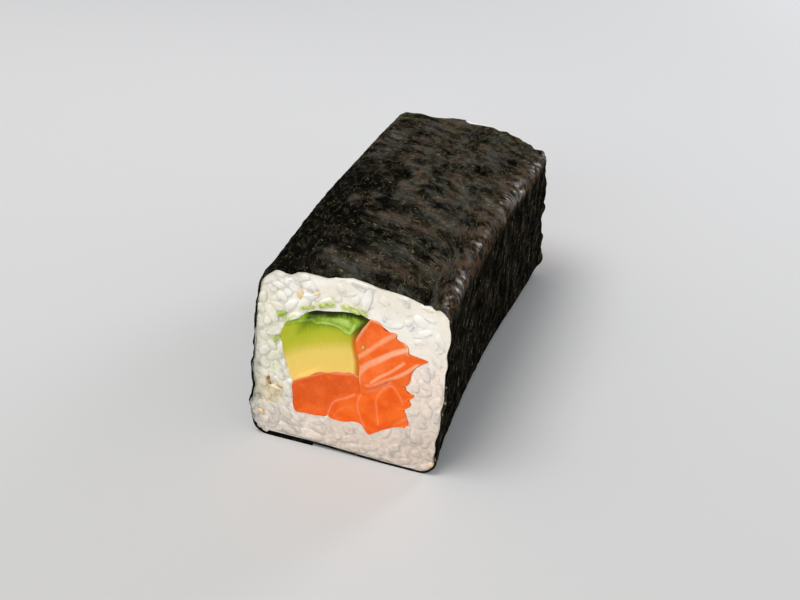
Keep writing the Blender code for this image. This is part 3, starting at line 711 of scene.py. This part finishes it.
def throwGrains(layer, end, rim, lines):
    # grains thrown at random on one face and kept where their middle clears the sheet and the fillings and
    # their tips hardly reach over them; each row is x, z, heading, pitch, size
    rng = np.random.default_rng(layer["seed"] + 50 * (end > 0))
    tries = layer["tries"]
    low, high = rim.min(axis=0), rim.max(axis=0)
    places = rng.uniform(low, high, (tries, 2))
    heading = rng.uniform(0, 2 * math.pi, tries)
    loose, flush = layer["steep"]
    steep = rng.random(tries) < loose + (flush - loose) * pressed(places)
    steepPitch, flatPitch = rng.uniform(*rice["steepPitch"], tries), rng.uniform(*rice["flatPitch"], tries)
    pitch = np.where(steep, steepPitch, flatPitch)
    size = 1 + rice["spread"] * rng.uniform(-1, 1, tries)
    toTip = (rice["tipShare"] * rice["length"] * size * np.cos(pitch))[:, None]
    reach = toTip * np.stack([np.cos(heading), np.sin(heading)], axis=1)

    def room(flat):
        outside = np.max([nearestOn(flat, line)[0] for line in lines], axis=0)
        return np.minimum(nearestOn(flat, rim)[0], -outside)

    fits = room(places) > rice["edgeRoom"]
    fits &= (room(places + reach) > rice["tipRoom"]) & (room(places - reach) > rice["tipRoom"])
    if end < 0:
        for x, z, radius, _ in rice["hollows"]:
            fits &= np.hypot(places[:, 0] - x, places[:, 1] - z) > radius + rice["hollowRoom"]
    kept = []
    for i in np.flatnonzero(fits):
        if not kept or np.min(np.sum((places[kept] - places[i]) ** 2, axis=1)) > layer["spacing"] ** 2:
            kept.append(i)
    return np.column_stack([places[kept], heading[kept], pitch[kept], size[kept]]), rng


def grainShape():
    # a grain over two parameters, along it and round it: a blunt ellipsoid, poles last
    rings, segments = rice["rings"], rice["segments"]
    angle = np.linspace(0, math.pi, rings + 1)[1:-1, None]
    turn = np.linspace(0, 2 * math.pi, segments, endpoint=False)
    across = np.sin(angle) ** rice["bluntness"]
    shape = np.stack(np.broadcast_arrays(np.cos(angle), across * np.cos(turn), across * np.sin(turn)), axis=2)
    quads = gridQuads(rings - 1, segments, closedColumns=True)
    i = np.arange(segments)
    nextI, last = (i + 1) % segments, (rings - 2) * segments
    top = np.full(segments, (rings - 1) * segments)
    caps = (nextI, i, top), (last + i, last + nextI, top + 1)
    triangles = np.concatenate([np.stack(cap, axis=1) for cap in caps])
    return np.concatenate([shape.reshape(-1, 3), [[1, 0, 0], [-1, 0, 0]]]), quads, triangles


def scattered(name, nodes, points, values=None):
    # many grains as one mesh: the grain's faces, counted on from grain to grain
    shape, quads, triangles = grainShape()
    start = (np.arange(len(points)) * len(shape))[:, None, None]
    quads, triangles = (quads + start).reshape(-1, 4), (triangles + start).reshape(-1, 3)
    return newPiece(name, points.reshape(-1, 3), quads, triangles, nodes, 80, values)


def grainsAt(end):
    # The grains on one cut face: their points, and each point's tone and green stain. A grain is the blunt
    # ellipsoid, bent, tapered and scaled on its own three axes. What stands out past its place behind the cut
    # is pushed back softly, half by the excess and half by the root of its square and a small square.
    rim, lines = riceSection(end), fillingLines(end)
    shape = grainShape()[0]
    allPoints, allTones = [], []
    for layer in rice["layers"]:
        rows, rng = throwGrains(layer, end, rim, lines)
        count = len(rows)
        place, heading, pitch, size = rows[:, :2], rows[:, 2], rows[:, 3], rows[:, 4]
        ahead, aside = np.cos(heading), np.sin(heading)
        axis = np.stack([ahead * np.cos(pitch), -end * np.sin(pitch), aside * np.cos(pitch)], axis=1)
        spare = unit(np.cross(axis, np.stack([aside, np.full(count, 0.3), -ahead], axis=1)))
        third = np.cross(axis, spare)
        bend = rice["bend"] * rng.uniform(-1, 1, count)[:, None]
        taper = rice["taper"] * rng.uniform(-1, 1, count)[:, None]
        along = shape[:, 0] * np.ones((count, 1))
        wide = shape[:, 1] * (1 + taper * along) + bend * along ** 2
        thick = shape[:, 2] * (1 + taper * along)
        grown = ((along, axis, "length"), (wide, spare, "width"), (thick, third, "thickness"))
        points = sum(reach[..., None] * way[:, None] * rice[side] for reach, way, side in grown)
        points = points * size[:, None, None] / 2
        loose, flush = rice["flush"]
        press = pressed(place)
        depth = rng.uniform(*layer["depth"], count) + np.abs(np.sin(pitch)) * rice["steepDepth"]
        across, upwards = points[..., 0], points[..., 2]
        points = points + standing(place, 0.0)[:, None]
        behind = depth[:, None] - end * points[..., 1]
        under = undercut(place) * (end > 0)
        behind = behind + under[:, None]
        limit = (rng.uniform(0, 1, count) * (loose + (flush - loose) * press) + under)[:, None]
        tilt = rng.normal(size=(2, count, 1)) * rice["cutTilt"]
        limit = np.clip(limit + tilt[0] * across + tilt[1] * upwards, 0, 6)
        over = behind - limit
        behind = limit + 0.5 * (over + np.sqrt(over ** 2 + rice["softCut"] ** 2))
        points[..., 1] = end * (roll["length"] / 2 - behind)
        flat = squeezed(points[..., ::2].reshape(-1, 2), behind.ravel(), end, lines)
        points[..., ::2] = flat.reshape(count, -1, 2)
        allPoints.append(points)
        allTones.append(np.broadcast_to(rng.uniform(-1, 1, count)[:, None], points.shape[:2]))
    points = np.concatenate(allPoints)
    stain = linesMask(points[..., ::2], rice["stains"]) if end < 0 else np.zeros(points.shape[:2])
    return points, np.concatenate(allTones), stain


def addGrains():
    # the loose grains of both faces as one mesh
    points, tones, stain = (np.concatenate(parts) for parts in zip(grainsAt(-1), grainsAt(1)))
    print(len(points), "grains")
    return scattered("riceGrains", ["rice"], points, {"tone": tones, "stain": stain})


class Wire:
    # one output socket of a material; sums, products and quotients of wires and numbers add their Math nodes
    def __init__(self, tree, socket):
        self.tree = tree
        self.socket = socket

    def node(self, kind, settings=None, inputs=None, output=0):
        # any other node: settings first, then the values and links of its sockets
        made = self.tree.nodes.new(kind)
        for name, value in (settings or {}).items():
            if name == "stops":
                for i, (place, colour) in enumerate(value):
                    stop = made.color_ramp.elements[i] if i < 2 else made.color_ramp.elements.new(place)
                    stop.position, stop.color = place, (*colour, 1.0)
            else:
                setattr(made, name, value)
        for name, value in (inputs or {}).items():
            if isinstance(value, Wire):
                self.tree.links.new(value.socket, made.inputs[name])
            else:
                made.inputs[name].default_value = value
        return Wire(self.tree, made.outputs[output])

    def maths(self, operation, first, second=0.0, third=0.0):
        return self.node("ShaderNodeMath", {"operation": operation}, {0: first, 1: second, 2: third})

    def __add__(self, other):
        return self.maths("ADD", self, other)

    def __radd__(self, other):
        return self.maths("ADD", other, self)

    def __sub__(self, other):
        return self.maths("SUBTRACT", self, other)

    def __rsub__(self, other):
        return self.maths("SUBTRACT", other, self)

    def __mul__(self, other):
        return self.maths("MULTIPLY", self, other)

    def __rmul__(self, other):
        return self.maths("MULTIPLY", other, self)

    def __truediv__(self, other):
        return self.maths("DIVIDE", self, other)

    def __rtruediv__(self, other):
        return self.maths("DIVIDE", other, self)

    def between(self, low, high, start=0.0, end=1.0):
        # a smooth rise from start to end as this value goes from low to high
        settings = {"interpolation_type": "SMOOTHSTEP", "clamp": True}
        return self.node("ShaderNodeMapRange", settings, {0: self, 1: low, 2: high, 3: start, 4: end})

    def scaled(self, x, y, z):
        # this vector with each axis scaled on its own
        return self.node("ShaderNodeVectorMath", {"operation": "MULTIPLY"}, {0: self, 1: (x, y, z)})

    def shifted(self, other):
        # this vector moved by another
        return self.node("ShaderNodeVectorMath", {"operation": "ADD"}, {0: self, 1: other})

    def noise(self, scale, detail=3.0, rough=0.55, twist=0.0):
        # noise over this vector, 0 to 1, with scale waves for each millimetre
        inputs = {"Vector": self, "Scale": scale, "Detail": detail, "Roughness": rough, "Distortion": twist}
        return self.node("ShaderNodeTexNoise", None, inputs)

    def noiseColour(self, scale, detail=2.0):
        # three noises at once, as a vector
        return self.node("ShaderNodeTexNoise", None, {"Vector": self, "Scale": scale, "Detail": detail}, 1)

    def cells(self, scale):
        # the distance from the nearest of scattered points
        return self.node("ShaderNodeTexVoronoi", None, {"Vector": self, "Scale": scale})

    def ramp(self, stops):
        # the colours of the stops as this value goes from 0 to 1
        return self.node("ShaderNodeValToRGB", {"stops": stops}, {0: self})

    def mix(self, first, second):
        # from the first colour to the second as this value goes from 0 to 1
        first = first if isinstance(first, Wire) else (*first, 1.0)
        second = second if isinstance(second, Wire) else (*second, 1.0)
        return self.node("ShaderNodeMix", {"data_type": "RGBA"}, {0: self, 6: first, 7: second}, 2)


class Finish:
    # a new material: its Principled shader, its place in millimetres, and its attributes as wires
    def __init__(self, name):
        self.material = bpy.data.materials.new(name)
        self.material.use_nodes = True
        self.tree = self.material.node_tree
        self.shader = self.tree.nodes["Principled BSDF"]
        self.any = Wire(self.tree, None)
        place = self.any.node("ShaderNodeTexCoord", output=3)
        inputs = {0: place, "Scale": 1 / mm}
        self.place = self.any.node("ShaderNodeVectorMath", {"operation": "SCALE"}, inputs)
        split = self.tree.nodes.new("ShaderNodeSeparateXYZ")
        self.tree.links.new(self.place.socket, split.inputs[0])
        self.x, self.y, self.z = (Wire(self.tree, socket) for socket in split.outputs)

    def value(self, name):
        # the mesh's own attribute of that name
        return self.any.node("ShaderNodeAttribute", {"attribute_name": name}, output=2)

    def bumps(self, *heights):
        # heights are pairs of a wire from 0 to 1 and its real height in millimetres, stacked on one normal
        normal = None
        for height, real in heights:
            inputs = {"Height": height, "Distance": real * mm, "Strength": 1.0}
            if normal:
                inputs["Normal"] = normal
            normal = self.any.node("ShaderNodeBump", None, inputs)
        return normal

    def set(self, **sockets):
        # the shader's sockets, each set to a value or linked to a wire
        names = {"colour": "Base Color", "roughness": "Roughness", "normal": "Normal", "coat": "Coat Weight",
                 "coatRoughness": "Coat Roughness", "scatter": "Subsurface Weight",
                 "scatterRadius": "Subsurface Radius", "scatterScale": "Subsurface Scale",
                 "gloss": "Specular IOR Level"}
        for name, value in sockets.items():
            socket = self.shader.inputs[names[name]]
            if isinstance(value, Wire):
                self.tree.links.new(value.socket, socket)
            else:
                socket.default_value = value
        return self.material


# black also stands in for painted shade, at the front left of the top and on the side walls
noriColours = {
    "black": (0.0022, 0.0022, 0.0016), "brown": (0.070, 0.051, 0.037), "grey": (0.056, 0.056, 0.048),
    "ruddy": (0.085, 0.046, 0.034), "rust": (0.112, 0.057, 0.025), "moss": (0.060, 0.066, 0.018),
    # the pale colour after fibre is a painted highlight for the folds of the upper right edge
    "fibre": (0.44, 0.41, 0.24), "ridgeHighlight": (0.24, 0.22, 0.21),
    "shares": {"ruddy": 0.55, "rust": 0.85, "moss": 0.55, "rim": 0.5, "fibre": 0.8, "ridgeHighlight": 0.8},
}


def threads(place, scale, rare):
    # thin lines where a noise passes its middle value, kept in patches; the rarer, the fewer patches
    line = (place.noise(scale, 2.0, 0.5, 1.4) - 0.5) * 26.0
    patches = place.shifted(place.scaled(0.3, 0.3, 0.3)).noise(0.55, 2.0)
    return (1.0 - line.maths("ABSOLUTE", line)).between(0.0, 1.0) * patches.between(rare, rare + 0.12)


def noriFinish():
    # pressed seaweed: soft dark blotches on brown and grey felt with ruddy patches, sparse pale fibres and
    # specks that lie aslant on top and upright on the sides, mossy at the rim; painted shade makes it almost
    # black at the front left and darker on the sides, and a pale painted highlight lies on the folds of the
    # upper right edge
    f = Finish("noriFinish")
    c, share = noriColours, noriColours["shares"]
    around, folds = f.value("around"), f.value("folds")
    onTop = around.maths("MAXIMUM", around, 0.0)
    onSide = around.maths("MINIMUM", around, 0.0)
    aslant = f.y - onTop * 0.45 - onSide * 0.12
    skew = f.any.node("ShaderNodeCombineXYZ", None, {0: around, 1: aslant, 2: 0.0})
    lain = skew.scaled(0.8, 1.0, 1.0).shifted(skew.noiseColour(0.3).scaled(2.4, 2.4, 0.0))
    blotch = lain.noise(0.26, 3.0, 0.55)
    felt = lain.noise(1.9, 5.0, 0.9)
    patch = skew.noise(0.11, 3.0, 0.6)
    body = skew.noise(0.14, 4.0, 0.6).between(0.42, 0.58).mix(c["brown"], c["grey"])
    body = (lain.noise(0.42, 3.0, 0.6).between(0.50, 0.64) * share["ruddy"]).mix(body, c["ruddy"])
    light = felt * 1.25 + (blotch - 0.5) * 1.1 + (patch - 0.5) * 0.9
    body = light.between(0.41, 0.90).mix(c["black"], body)
    rust = around.between(7.0, 1.0) * around.between(-4.0, -1.0)
    rust = rust * lain.noise(0.7, 3.0, 0.6).between(0.48, 0.60)
    body = (rust * share["rust"]).mix(body, c["rust"])
    moss = lain.noise(0.22, 3.0).between(0.5, 0.64)
    nearEnds = f.y.between(36.0, 52.0) + (1.0 - f.y.between(-52.0, -44.0)) * 0.3
    body = (moss * nearEnds * share["moss"] + moss * 0.10).mix(body, c["moss"])
    # painted shade: the top goes almost black towards the front left
    shade = (f.x + (patch - 0.5) * 60.0).between(5.0, -9.0) * f.y.between(26.0, -6.0)
    sides = around.between(-1.2, -4.0)
    # painted shade: the side walls darkened, a little less where the blotches are light
    sideShade = sides * (1.0 - blotch.between(0.48, 0.62) * 0.35) * 0.79
    body = shade.maths("MAXIMUM", shade * 0.91, sideShade).mix(body, c["black"])
    upright = threads(skew.scaled(0.16, 1.2, 1.0), 1.3, 0.52)
    curly = threads(lain.scaled(1.4, 0.5, 1.0), 2.1, 0.48)
    sparks = 1.0 - lain.scaled(0.5, 1.5, 1.0).cells(1.1).between(0.05, 0.22)
    sparks = sparks * lain.noise(0.5, 3.0).between(0.50, 0.62)
    upright = upright * sides * (0.25 + lain.noise(0.3, 3.0).between(0.45, 0.62) * 0.75)
    fibres = upright.maths("MAXIMUM", upright, curly * (1.0 - sides) * (0.48 - shade * 0.16))
    fibres = fibres.maths("MAXIMUM", fibres, sparks)
    body = (fibres * (share["fibre"] - shade * 0.1)).mix(body, c["fibre"])
    # painted highlight: a pale colour on the crests of the folds along the upper right edge
    edge = around.between(6.5, 2.0) * around.between(-2.2, 0.0) * lain.noise(0.16, 2.0).between(0.38, 0.56)
    ridgeHighlight = (folds * 0.7 + (felt - 0.5) * 1.1 + (blotch - 0.5) * 0.8).between(0.02, 0.40) * edge
    body = (ridgeHighlight * share["ridgeHighlight"]).mix(body, c["ridgeHighlight"])
    rim = f.y.between(49.6, 51.6) * onTop.between(0.5, 3.0)
    body = (rim * share["rim"]).mix(body, c["moss"])
    roughness = felt.between(0.3, 0.7, 0.68, 0.48)
    wet = lain.noise(0.35, 3.0, 0.6).between(0.46, 0.60)
    gloss = around.between(7.0, 1.5) * around.between(-2.4, 0.2) * (0.04 + folds * 1.5 * wet)
    gloss = gloss + (blotch * 0.5 + felt * 0.5).between(0.46, 0.66) * 0.17 * onTop.between(0.0, 2.0)
    relief = f.bumps((lain.noise(0.5, 3.0, 0.6), 0.20), (felt, 0.16), (fibres, 0.05))
    return f.set(colour=body, roughness=roughness, normal=relief, gloss=0.0, coat=gloss * (1.0 - shade * 0.8),
                 coatRoughness=0.32)


# grey and the dusky tone are painted shade: grey next to the sheet, the dusky tone towards the floor and on
# the right
riceColours = {
    "cream": (0.83, 0.77, 0.65), "white": (0.95, 0.91, 0.84), "grey": (0.40, 0.40, 0.36),
    "pink": (0.90, 0.70, 0.60), "green": (0.68, 0.67, 0.46), "clear": (0.66, 0.63, 0.54),
    "paintedShade": (0.62, 0.51, 0.43), "straw": (0.64, 0.52, 0.27), "stain": (0.46, 0.56, 0.08),
}


def riceFinish():
    # moist rice: each grain its own tone, grey and glassy next to the sheet on the left and below, the grey
    # being painted shade, pinkish round the salmon, greenish round the avocado, and darkened by painted shade
    # towards the floor and on the right
    f = Finish("riceFinish")
    c = riceColours
    tone = f.value("tone")
    cloud = f.place.noise(0.16, 3.0)
    fleck = f.place.noise(0.9, 4.0, 0.6)
    light = tone * 0.3 + (fleck - 0.5) * 1.1 + cloud.between(0.35, 0.65) * 0.6 + 0.28
    body = light.mix(c["cream"], c["white"])
    pink = f.x.between(-16.0, 6.0) * f.z.between(38.0, 24.0) * cloud.between(0.2, 0.55)
    body = (pink * 0.55).mix(body, c["pink"])
    # painted shade: darker towards the floor and on the right, varied by the flecks and each grain's tone
    paintedShade = (f.z + cloud * 4.0).between(20.0, 6.0) * 0.75
    paintedShade = paintedShade + f.x.between(9.0, 18.0) * f.z.between(33.0, 20.0) * 0.45
    paintedShade = paintedShade.maths("MINIMUM", paintedShade, 0.9) - fleck.between(0.34, 0.66) * 0.4 + tone * 0.16 + 0.12
    body = (paintedShade * f.z.between(34.0, 26.0)).mix(body, c["paintedShade"])
    green = (f.x + cloud * 4.0).between(-9.0, -18.0) * f.z.between(10.0, 20.0) * f.z.between(43.0, 33.0)
    body = (green * 0.5).mix(body, c["green"])
    acrossX, acrossZ = f.x + 18.5, f.z - 13.0
    straw = (acrossX * acrossX + acrossZ * acrossZ).between(26.0, 2.0)
    body = (straw * 0.6).mix(body, c["straw"])
    glass = tone.between(0.1, 0.7) * f.place.noise(0.5, 2.0).between(0.38, 0.6)
    glass = glass * f.x.between(2.0, -12.0, 0.15, 1.0)
    body = (glass * 0.6).mix(body, c["clear"])
    # painted shade: grey next to the sheet on the left and along the bottom
    left = (f.x + cloud * 3.0).between(-18.0, -21.4)
    low = (f.z + cloud * 3.0 + fleck * 2.0).between(5.6, 2.0) * f.x.between(18.0, -16.0, 0.3, 1.0)
    edge = left.maths("MAXIMUM", left, low)
    body = (edge * (0.75 + tone * 0.25)).mix(body, c["grey"])
    stain = f.value("stain") * f.place.noise(1.2, 2.0).between(0.3, 0.55, 0.4, 1.0)
    body = stain.mix(body, c["stain"])
    rough = f.place.noise(0.9, 4.0, 0.65) * f.z.between(43.0, 34.0, 0.45, 1.0)
    relief = f.bumps((rough, 0.26), (f.place.noise(2.8, 2.0), 0.04))
    roughness = f.place.noise(0.7, 2.0).between(0.3, 0.7, 0.30, 0.50)
    return f.set(colour=body, roughness=roughness, normal=relief, scatter=0.35,
                 scatterRadius=(1.0, 0.85, 0.7), scatterScale=0.0006, gloss=0.4)


# The flesh's stops go from the skin side inwards; each pair is a darker and a lighter colour.
avocadoColours = {
    "flesh": (
        (0.00, (0.008, 0.014, 0.000)), (0.045, (0.026, 0.048, 0.001)), (0.10, (0.150, 0.240, 0.005)),
        (0.24, (0.410, 0.460, 0.024)), (0.36, (0.540, 0.500, 0.040)), (0.50, (0.820, 0.610, 0.140)),
        (0.78, (0.860, 0.590, 0.145)), (1.00, (0.840, 0.520, 0.100)),
    ),
    "fleshDepth": 20.0,
    "leaf": ((0.18, 0.32, 0.008), (0.36, 0.53, 0.07)),
    # a painted highlight colour for the glossy streaks
    "paintedHighlight": (0.46, 0.62, 0.13),
    # the side pair is painted shade next to the upper salmon strip, orange-brown below and dark green above
    "side": ((0.56, 0.13, 0.0), (0.045, 0.05, 0.002)),
}


def avocadoFinish():
    # from the skin side inwards: a dark rim, bright green, yellow-green, then warm yellow, with faint strands
    # down the flesh, pale painted highlights along the raised glossy streaks, and painted shade along the
    # side next to the upper salmon strip
    f = Finish("avocadoFinish")
    c = avocadoColours
    below, lines = f.value("below"), f.value("lines")
    x, z = f.value("homeX"), f.value("homeZ")
    strands = f.any.node("ShaderNodeCombineXYZ", None, {0: x, 1: 0.0, 2: z * 0.12}).noise(1.6, 4.0, 0.65)
    soft = f.place.noise(0.25, 2.0)
    depth = below + (strands - 0.5) * 1.8 + (soft - 0.5) * 1.6
    depth = depth.maths("MAXIMUM", depth, x.between(-7.0, -14.0, 0.0, 5.6))
    body = (depth / c["fleshDepth"]).ramp(c["flesh"])
    green = f.value("lobe")
    patch = f.place.noise(0.55, 4.0, 0.6)
    leaf = (patch + x.between(-9.0, -1.0, -0.12, 0.07)).between(0.35, 0.7).mix(*c["leaf"])
    body = (green * 0.8 * depth.between(0.9, 2.4)).mix(body, leaf)
    # painted highlight: a pale colour along the raised glossy streaks
    body = (lines * patch.between(0.3, 0.62, 0.35, 1.0)).mix(body, c["paintedHighlight"])
    # painted shade along the side next to the upper salmon strip: orange-brown below, dark green above
    edge = f.value("side")
    body = (edge * 0.92).mix(body, z.between(30.5, 34.5).mix(*c["side"]))
    relief = f.bumps((strands, 0.06), (soft, 0.15), (lines, 0.12))
    return f.set(colour=body, roughness=0.38, normal=relief, scatter=0.15, scatterRadius=(1.2, 0.9, 0.3),
                 scatterScale=0.001, gloss=0.09, coat=lines * 0.5, coatRoughness=0.22)


# for each strip: the deep and the bright orange, the fat lines' colour, and how much of it the flecks take
salmonColours = {
    "upper": ((0.85, 0.115, 0.006), (0.94, 0.18, 0.030), (1.0, 0.52, 0.31), 0.2),
    "right": ((0.85, 0.098, 0.002), (0.95, 0.165, 0.016), (0.96, 0.29, 0.13), 0.35),
    "left": ((0.72, 0.090, 0.006), (0.83, 0.135, 0.016), (0.92, 0.34, 0.21), 0.7),
}


def salmonFinish(name, deep, bright, pale, mottled):
    # raw fish: mottled orange, pale fat lines with soft edges, small light flecks
    f = Finish(name)
    lines = f.value("lines")
    grain = f.place.scaled(1.0, 0.1, 1.0)
    cloud = grain.noise(0.24, 5.0, 0.65)
    light = cloud.between(0.38, 0.62) * 0.75 + grain.noise(1.4, 3.0).between(0.3, 0.7) * 0.25
    body = light.mix(deep, bright)
    ragged = lines * grain.noise(1.2, 3.0).between(0.2, 0.6, 0.65, 1.0)
    body = ragged.mix(body, pale)
    flecks = (1.0 - grain.cells(1.7).between(0.06, 0.26)) * grain.noise(0.6, 2.0).between(0.42, 0.62)
    body = (flecks * mottled).mix(body, pale)
    relief = f.bumps((grain.noise(0.7, 3.0), 0.12), (ragged, 0.08))
    return f.set(colour=body, roughness=0.36, normal=relief, scatter=0.15, scatterRadius=(1.5, 0.5, 0.25),
                 scatterScale=0.001, gloss=0.12, coat=0.06, coatRoughness=0.18)


# Bits on the front face. Spots are x, z, size, stretch and heading in degrees.
crumbs = {
    "avocadoBits": {
        "slot": "avocado", "colour": (0.28, 0.42, 0.03), "pale": (0.56, 0.64, 0.18), "seed": 21, "sunk": 0.15,
        "spots": ((-15.5, 34.3, 0.60, 1.4, 35), (-14.8, 34.9, 0.40, 1.4, -20), (-10.0, 37.1, 0.40, 2.2, 24),
                  (-8.4, 37.6, 0.36, 1.9, 4), (-5.6, 38.7, 0.55, 1.7, 30), (-4.2, 39.3, 0.50, 1.5, -8),
                  (0.2, 39.5, 0.55, 1.9, -22), (2.0, 38.9, 0.45, 2.2, -14), (4.0, 38.7, 0.35, 1.8, -4),
                  (-16.9, 27.4, 0.42, 1.8, 55), (-16.1, 28.1, 0.3, 1.5, 20), (4.0, 30.4, 0.28, 1.9, 75)),
    },
    "salmonBits": {
        "slot": "salmon", "colour": (0.86, 0.58, 0.30), "pale": (0.92, 0.74, 0.52), "seed": 22, "sunk": 0.28,
        "spots": ((-10.9, 40.3, 0.75, 1.3, 80), (-7.0, 41.3, 0.5, 1.6, 20), (18.2, 43.0, 0.45, 2.2, -6),
                  (21.2, 3.0, 0.6, 1.3, 60), (-17.2, 14.1, 0.6, 2.6, -12), (-21.0, 6.3, 0.5, 1.4, -40)),
    },
    "brownBits": {
        "slot": "salmon", "colour": (0.20, 0.10, 0.02), "pale": (0.42, 0.20, 0.05), "seed": 23, "sunk": 0.24,
        "spots": ((-19.0, 16.2, 0.36, 1.9, 68), (-18.6, 14.9, 0.34, 1.6, -50)),
    },
}


def addCrumbs(name):
    # small flattened lumps: blunt ellipsoids stretched and turned in the face, each point moved a little
    look = crumbs[name]
    rng = np.random.default_rng(look["seed"])
    shape = grainShape()[0]
    x, z, size, stretch, heading = (column[:, None] for column in np.array(look["spots"]).T)
    unevenness, flatness = 0.22, 0.4
    rough = 1 + unevenness * rng.uniform(-1, 1, (len(x), len(shape)))
    u, v, w = shape[:, 0] * rough * stretch * size, shape[:, 1] * rough * size, shape[:, 2] * flatness * size
    flat = turned(np.stack([u, v], axis=-1), np.radians(heading)) + np.stack([x, z], axis=-1)
    return scattered(name, (), standing(flat, w + look["sunk"] - roll["length"] / 2))


def crumbFinish(name):
    # moist bits: two tones mixed by soft noise
    f = Finish(name + "Finish")
    look = crumbs[name]
    body = f.place.noise(0.7, 2.0).between(0.38, 0.62).mix(look["colour"], look["pale"])
    return f.set(colour=body, roughness=0.35, scatter=0.2, scatterScale=0.0008, coat=0.2)


nori = addNori()
nori.data.materials.append(noriFinish())
print("nori done")

avocado = addFilling("avocado", "avocadoStrip", "avocado", 31)
avocado.data.materials.append(avocadoFinish())
for part, ripple in (("upper", 32), ("right", 33), ("left", 34)):
    strip = addFilling("salmon_" + part, "salmonStrip" + part.capitalize(), "salmon", ripple)
    strip.data.materials.append(salmonFinish("salmonFinish" + part.capitalize(), *salmonColours[part]))
print("fillings done")

riceLook = riceFinish()
for piece in (addRiceCore(), addGrains()):
    piece.data.materials.append(riceLook)
for name in crumbs:
    addCrumbs(name).data.materials.append(crumbFinish(name))
print("rice done")

# The floor, the lights and the camera. The camera stands where the photograph was taken from.
view = {
    "place": (66.99, -231.53, 153.4), "azimuth": 17.119, "elevation": 30.222, "roll": 3.161, "lens": 46.65,
}
floorLook = {
    "size": 3000.0, "front": (0.56, 0.56, 0.56), "back": (0.72, 0.72, 0.73), "from": -220.0, "to": 240.0,
}
lights = {
    "key": {"place": (-270, -300, 900), "size": 560, "power": 5.6, "colour": (1.0, 0.99, 0.97)},
    "front": {"place": (-160, -900, 330), "size": 600, "power": 3.3, "colour": (1.0, 0.99, 0.97)},
    "back": {"place": (420, 800, 380), "size": 320, "power": 2.6, "colour": (0.93, 0.96, 1.0)},
}
sky = {"colour": (0.98, 0.99, 1.0), "strength": 0.40}


def addFloor():
    # a square on the ground, a little paler towards the back
    half = floorLook["size"] / 2 * mm
    mesh = bpy.data.meshes.new("floor")
    corners = [(-half, -half, 0), (half, -half, 0), (half, half, 0), (-half, half, 0)]
    mesh.from_pydata(corners, [], [(0, 1, 2, 3)])
    floor = bpy.data.objects.new("floor", mesh)
    bpy.context.scene.collection.objects.link(floor)
    f = Finish("floorFinish")
    body = f.y.between(floorLook["from"], floorLook["to"]).mix(floorLook["front"], floorLook["back"])
    mesh.materials.append(f.set(colour=body, roughness=0.75, gloss=0.2))


def addLight(name, look):
    # a round lamp turned from its place towards the roll
    light = bpy.data.lights.new(name, "AREA")
    light.shape, light.size = "DISK", look["size"] * mm
    light.energy, light.color = look["power"], look["colour"]
    lamp = bpy.data.objects.new(name, light)
    lamp.location = [part * mm for part in look["place"]]
    aim = np.array([0, 0, 20]) - np.array(look["place"])
    tip, swing = math.atan2(math.hypot(aim[0], aim[1]), -aim[2]), math.atan2(aim[0], -aim[1]) + math.pi
    lamp.rotation_euler = (tip, 0, swing)
    bpy.context.scene.collection.objects.link(lamp)


def addCamera():
    # its own axes from azimuth, elevation and roll
    a, e, r = (math.radians(view[name]) for name in ("azimuth", "elevation", "roll"))
    back = np.array([math.sin(a) * math.cos(e), -math.cos(a) * math.cos(e), math.sin(e)])
    right = np.array([math.cos(a), math.sin(a), 0.0])
    up = np.cross(back, right)
    across, upwards = right * math.cos(r) + up * math.sin(r), up * math.cos(r) - right * math.sin(r)
    lens = bpy.data.cameras.new("camera")
    lens.lens, lens.sensor_width, lens.clip_start = view["lens"], 36.0, 0.01
    camera = bpy.data.objects.new("camera", lens)
    stance = np.eye(4)
    stance[:3, :3] = np.stack([across, upwards, back], axis=1)
    stance[:3, 3] = np.array(view["place"]) * mm
    bpy.context.scene.collection.objects.link(camera)
    camera.matrix_world = stance.T
    bpy.context.scene.camera = camera


addFloor()
for name, look in lights.items():
    addLight(name, look)
addCamera()
world = bpy.data.worlds.new("studio")
bpy.context.scene.world = world
world.use_nodes = True
background = world.node_tree.nodes["Background"]
background.inputs["Color"].default_value = (*sky["colour"], 1.0)
background.inputs["Strength"].default_value = sky["strength"]
bpy.context.scene.view_settings.view_transform = "Standard"
print("stage done")
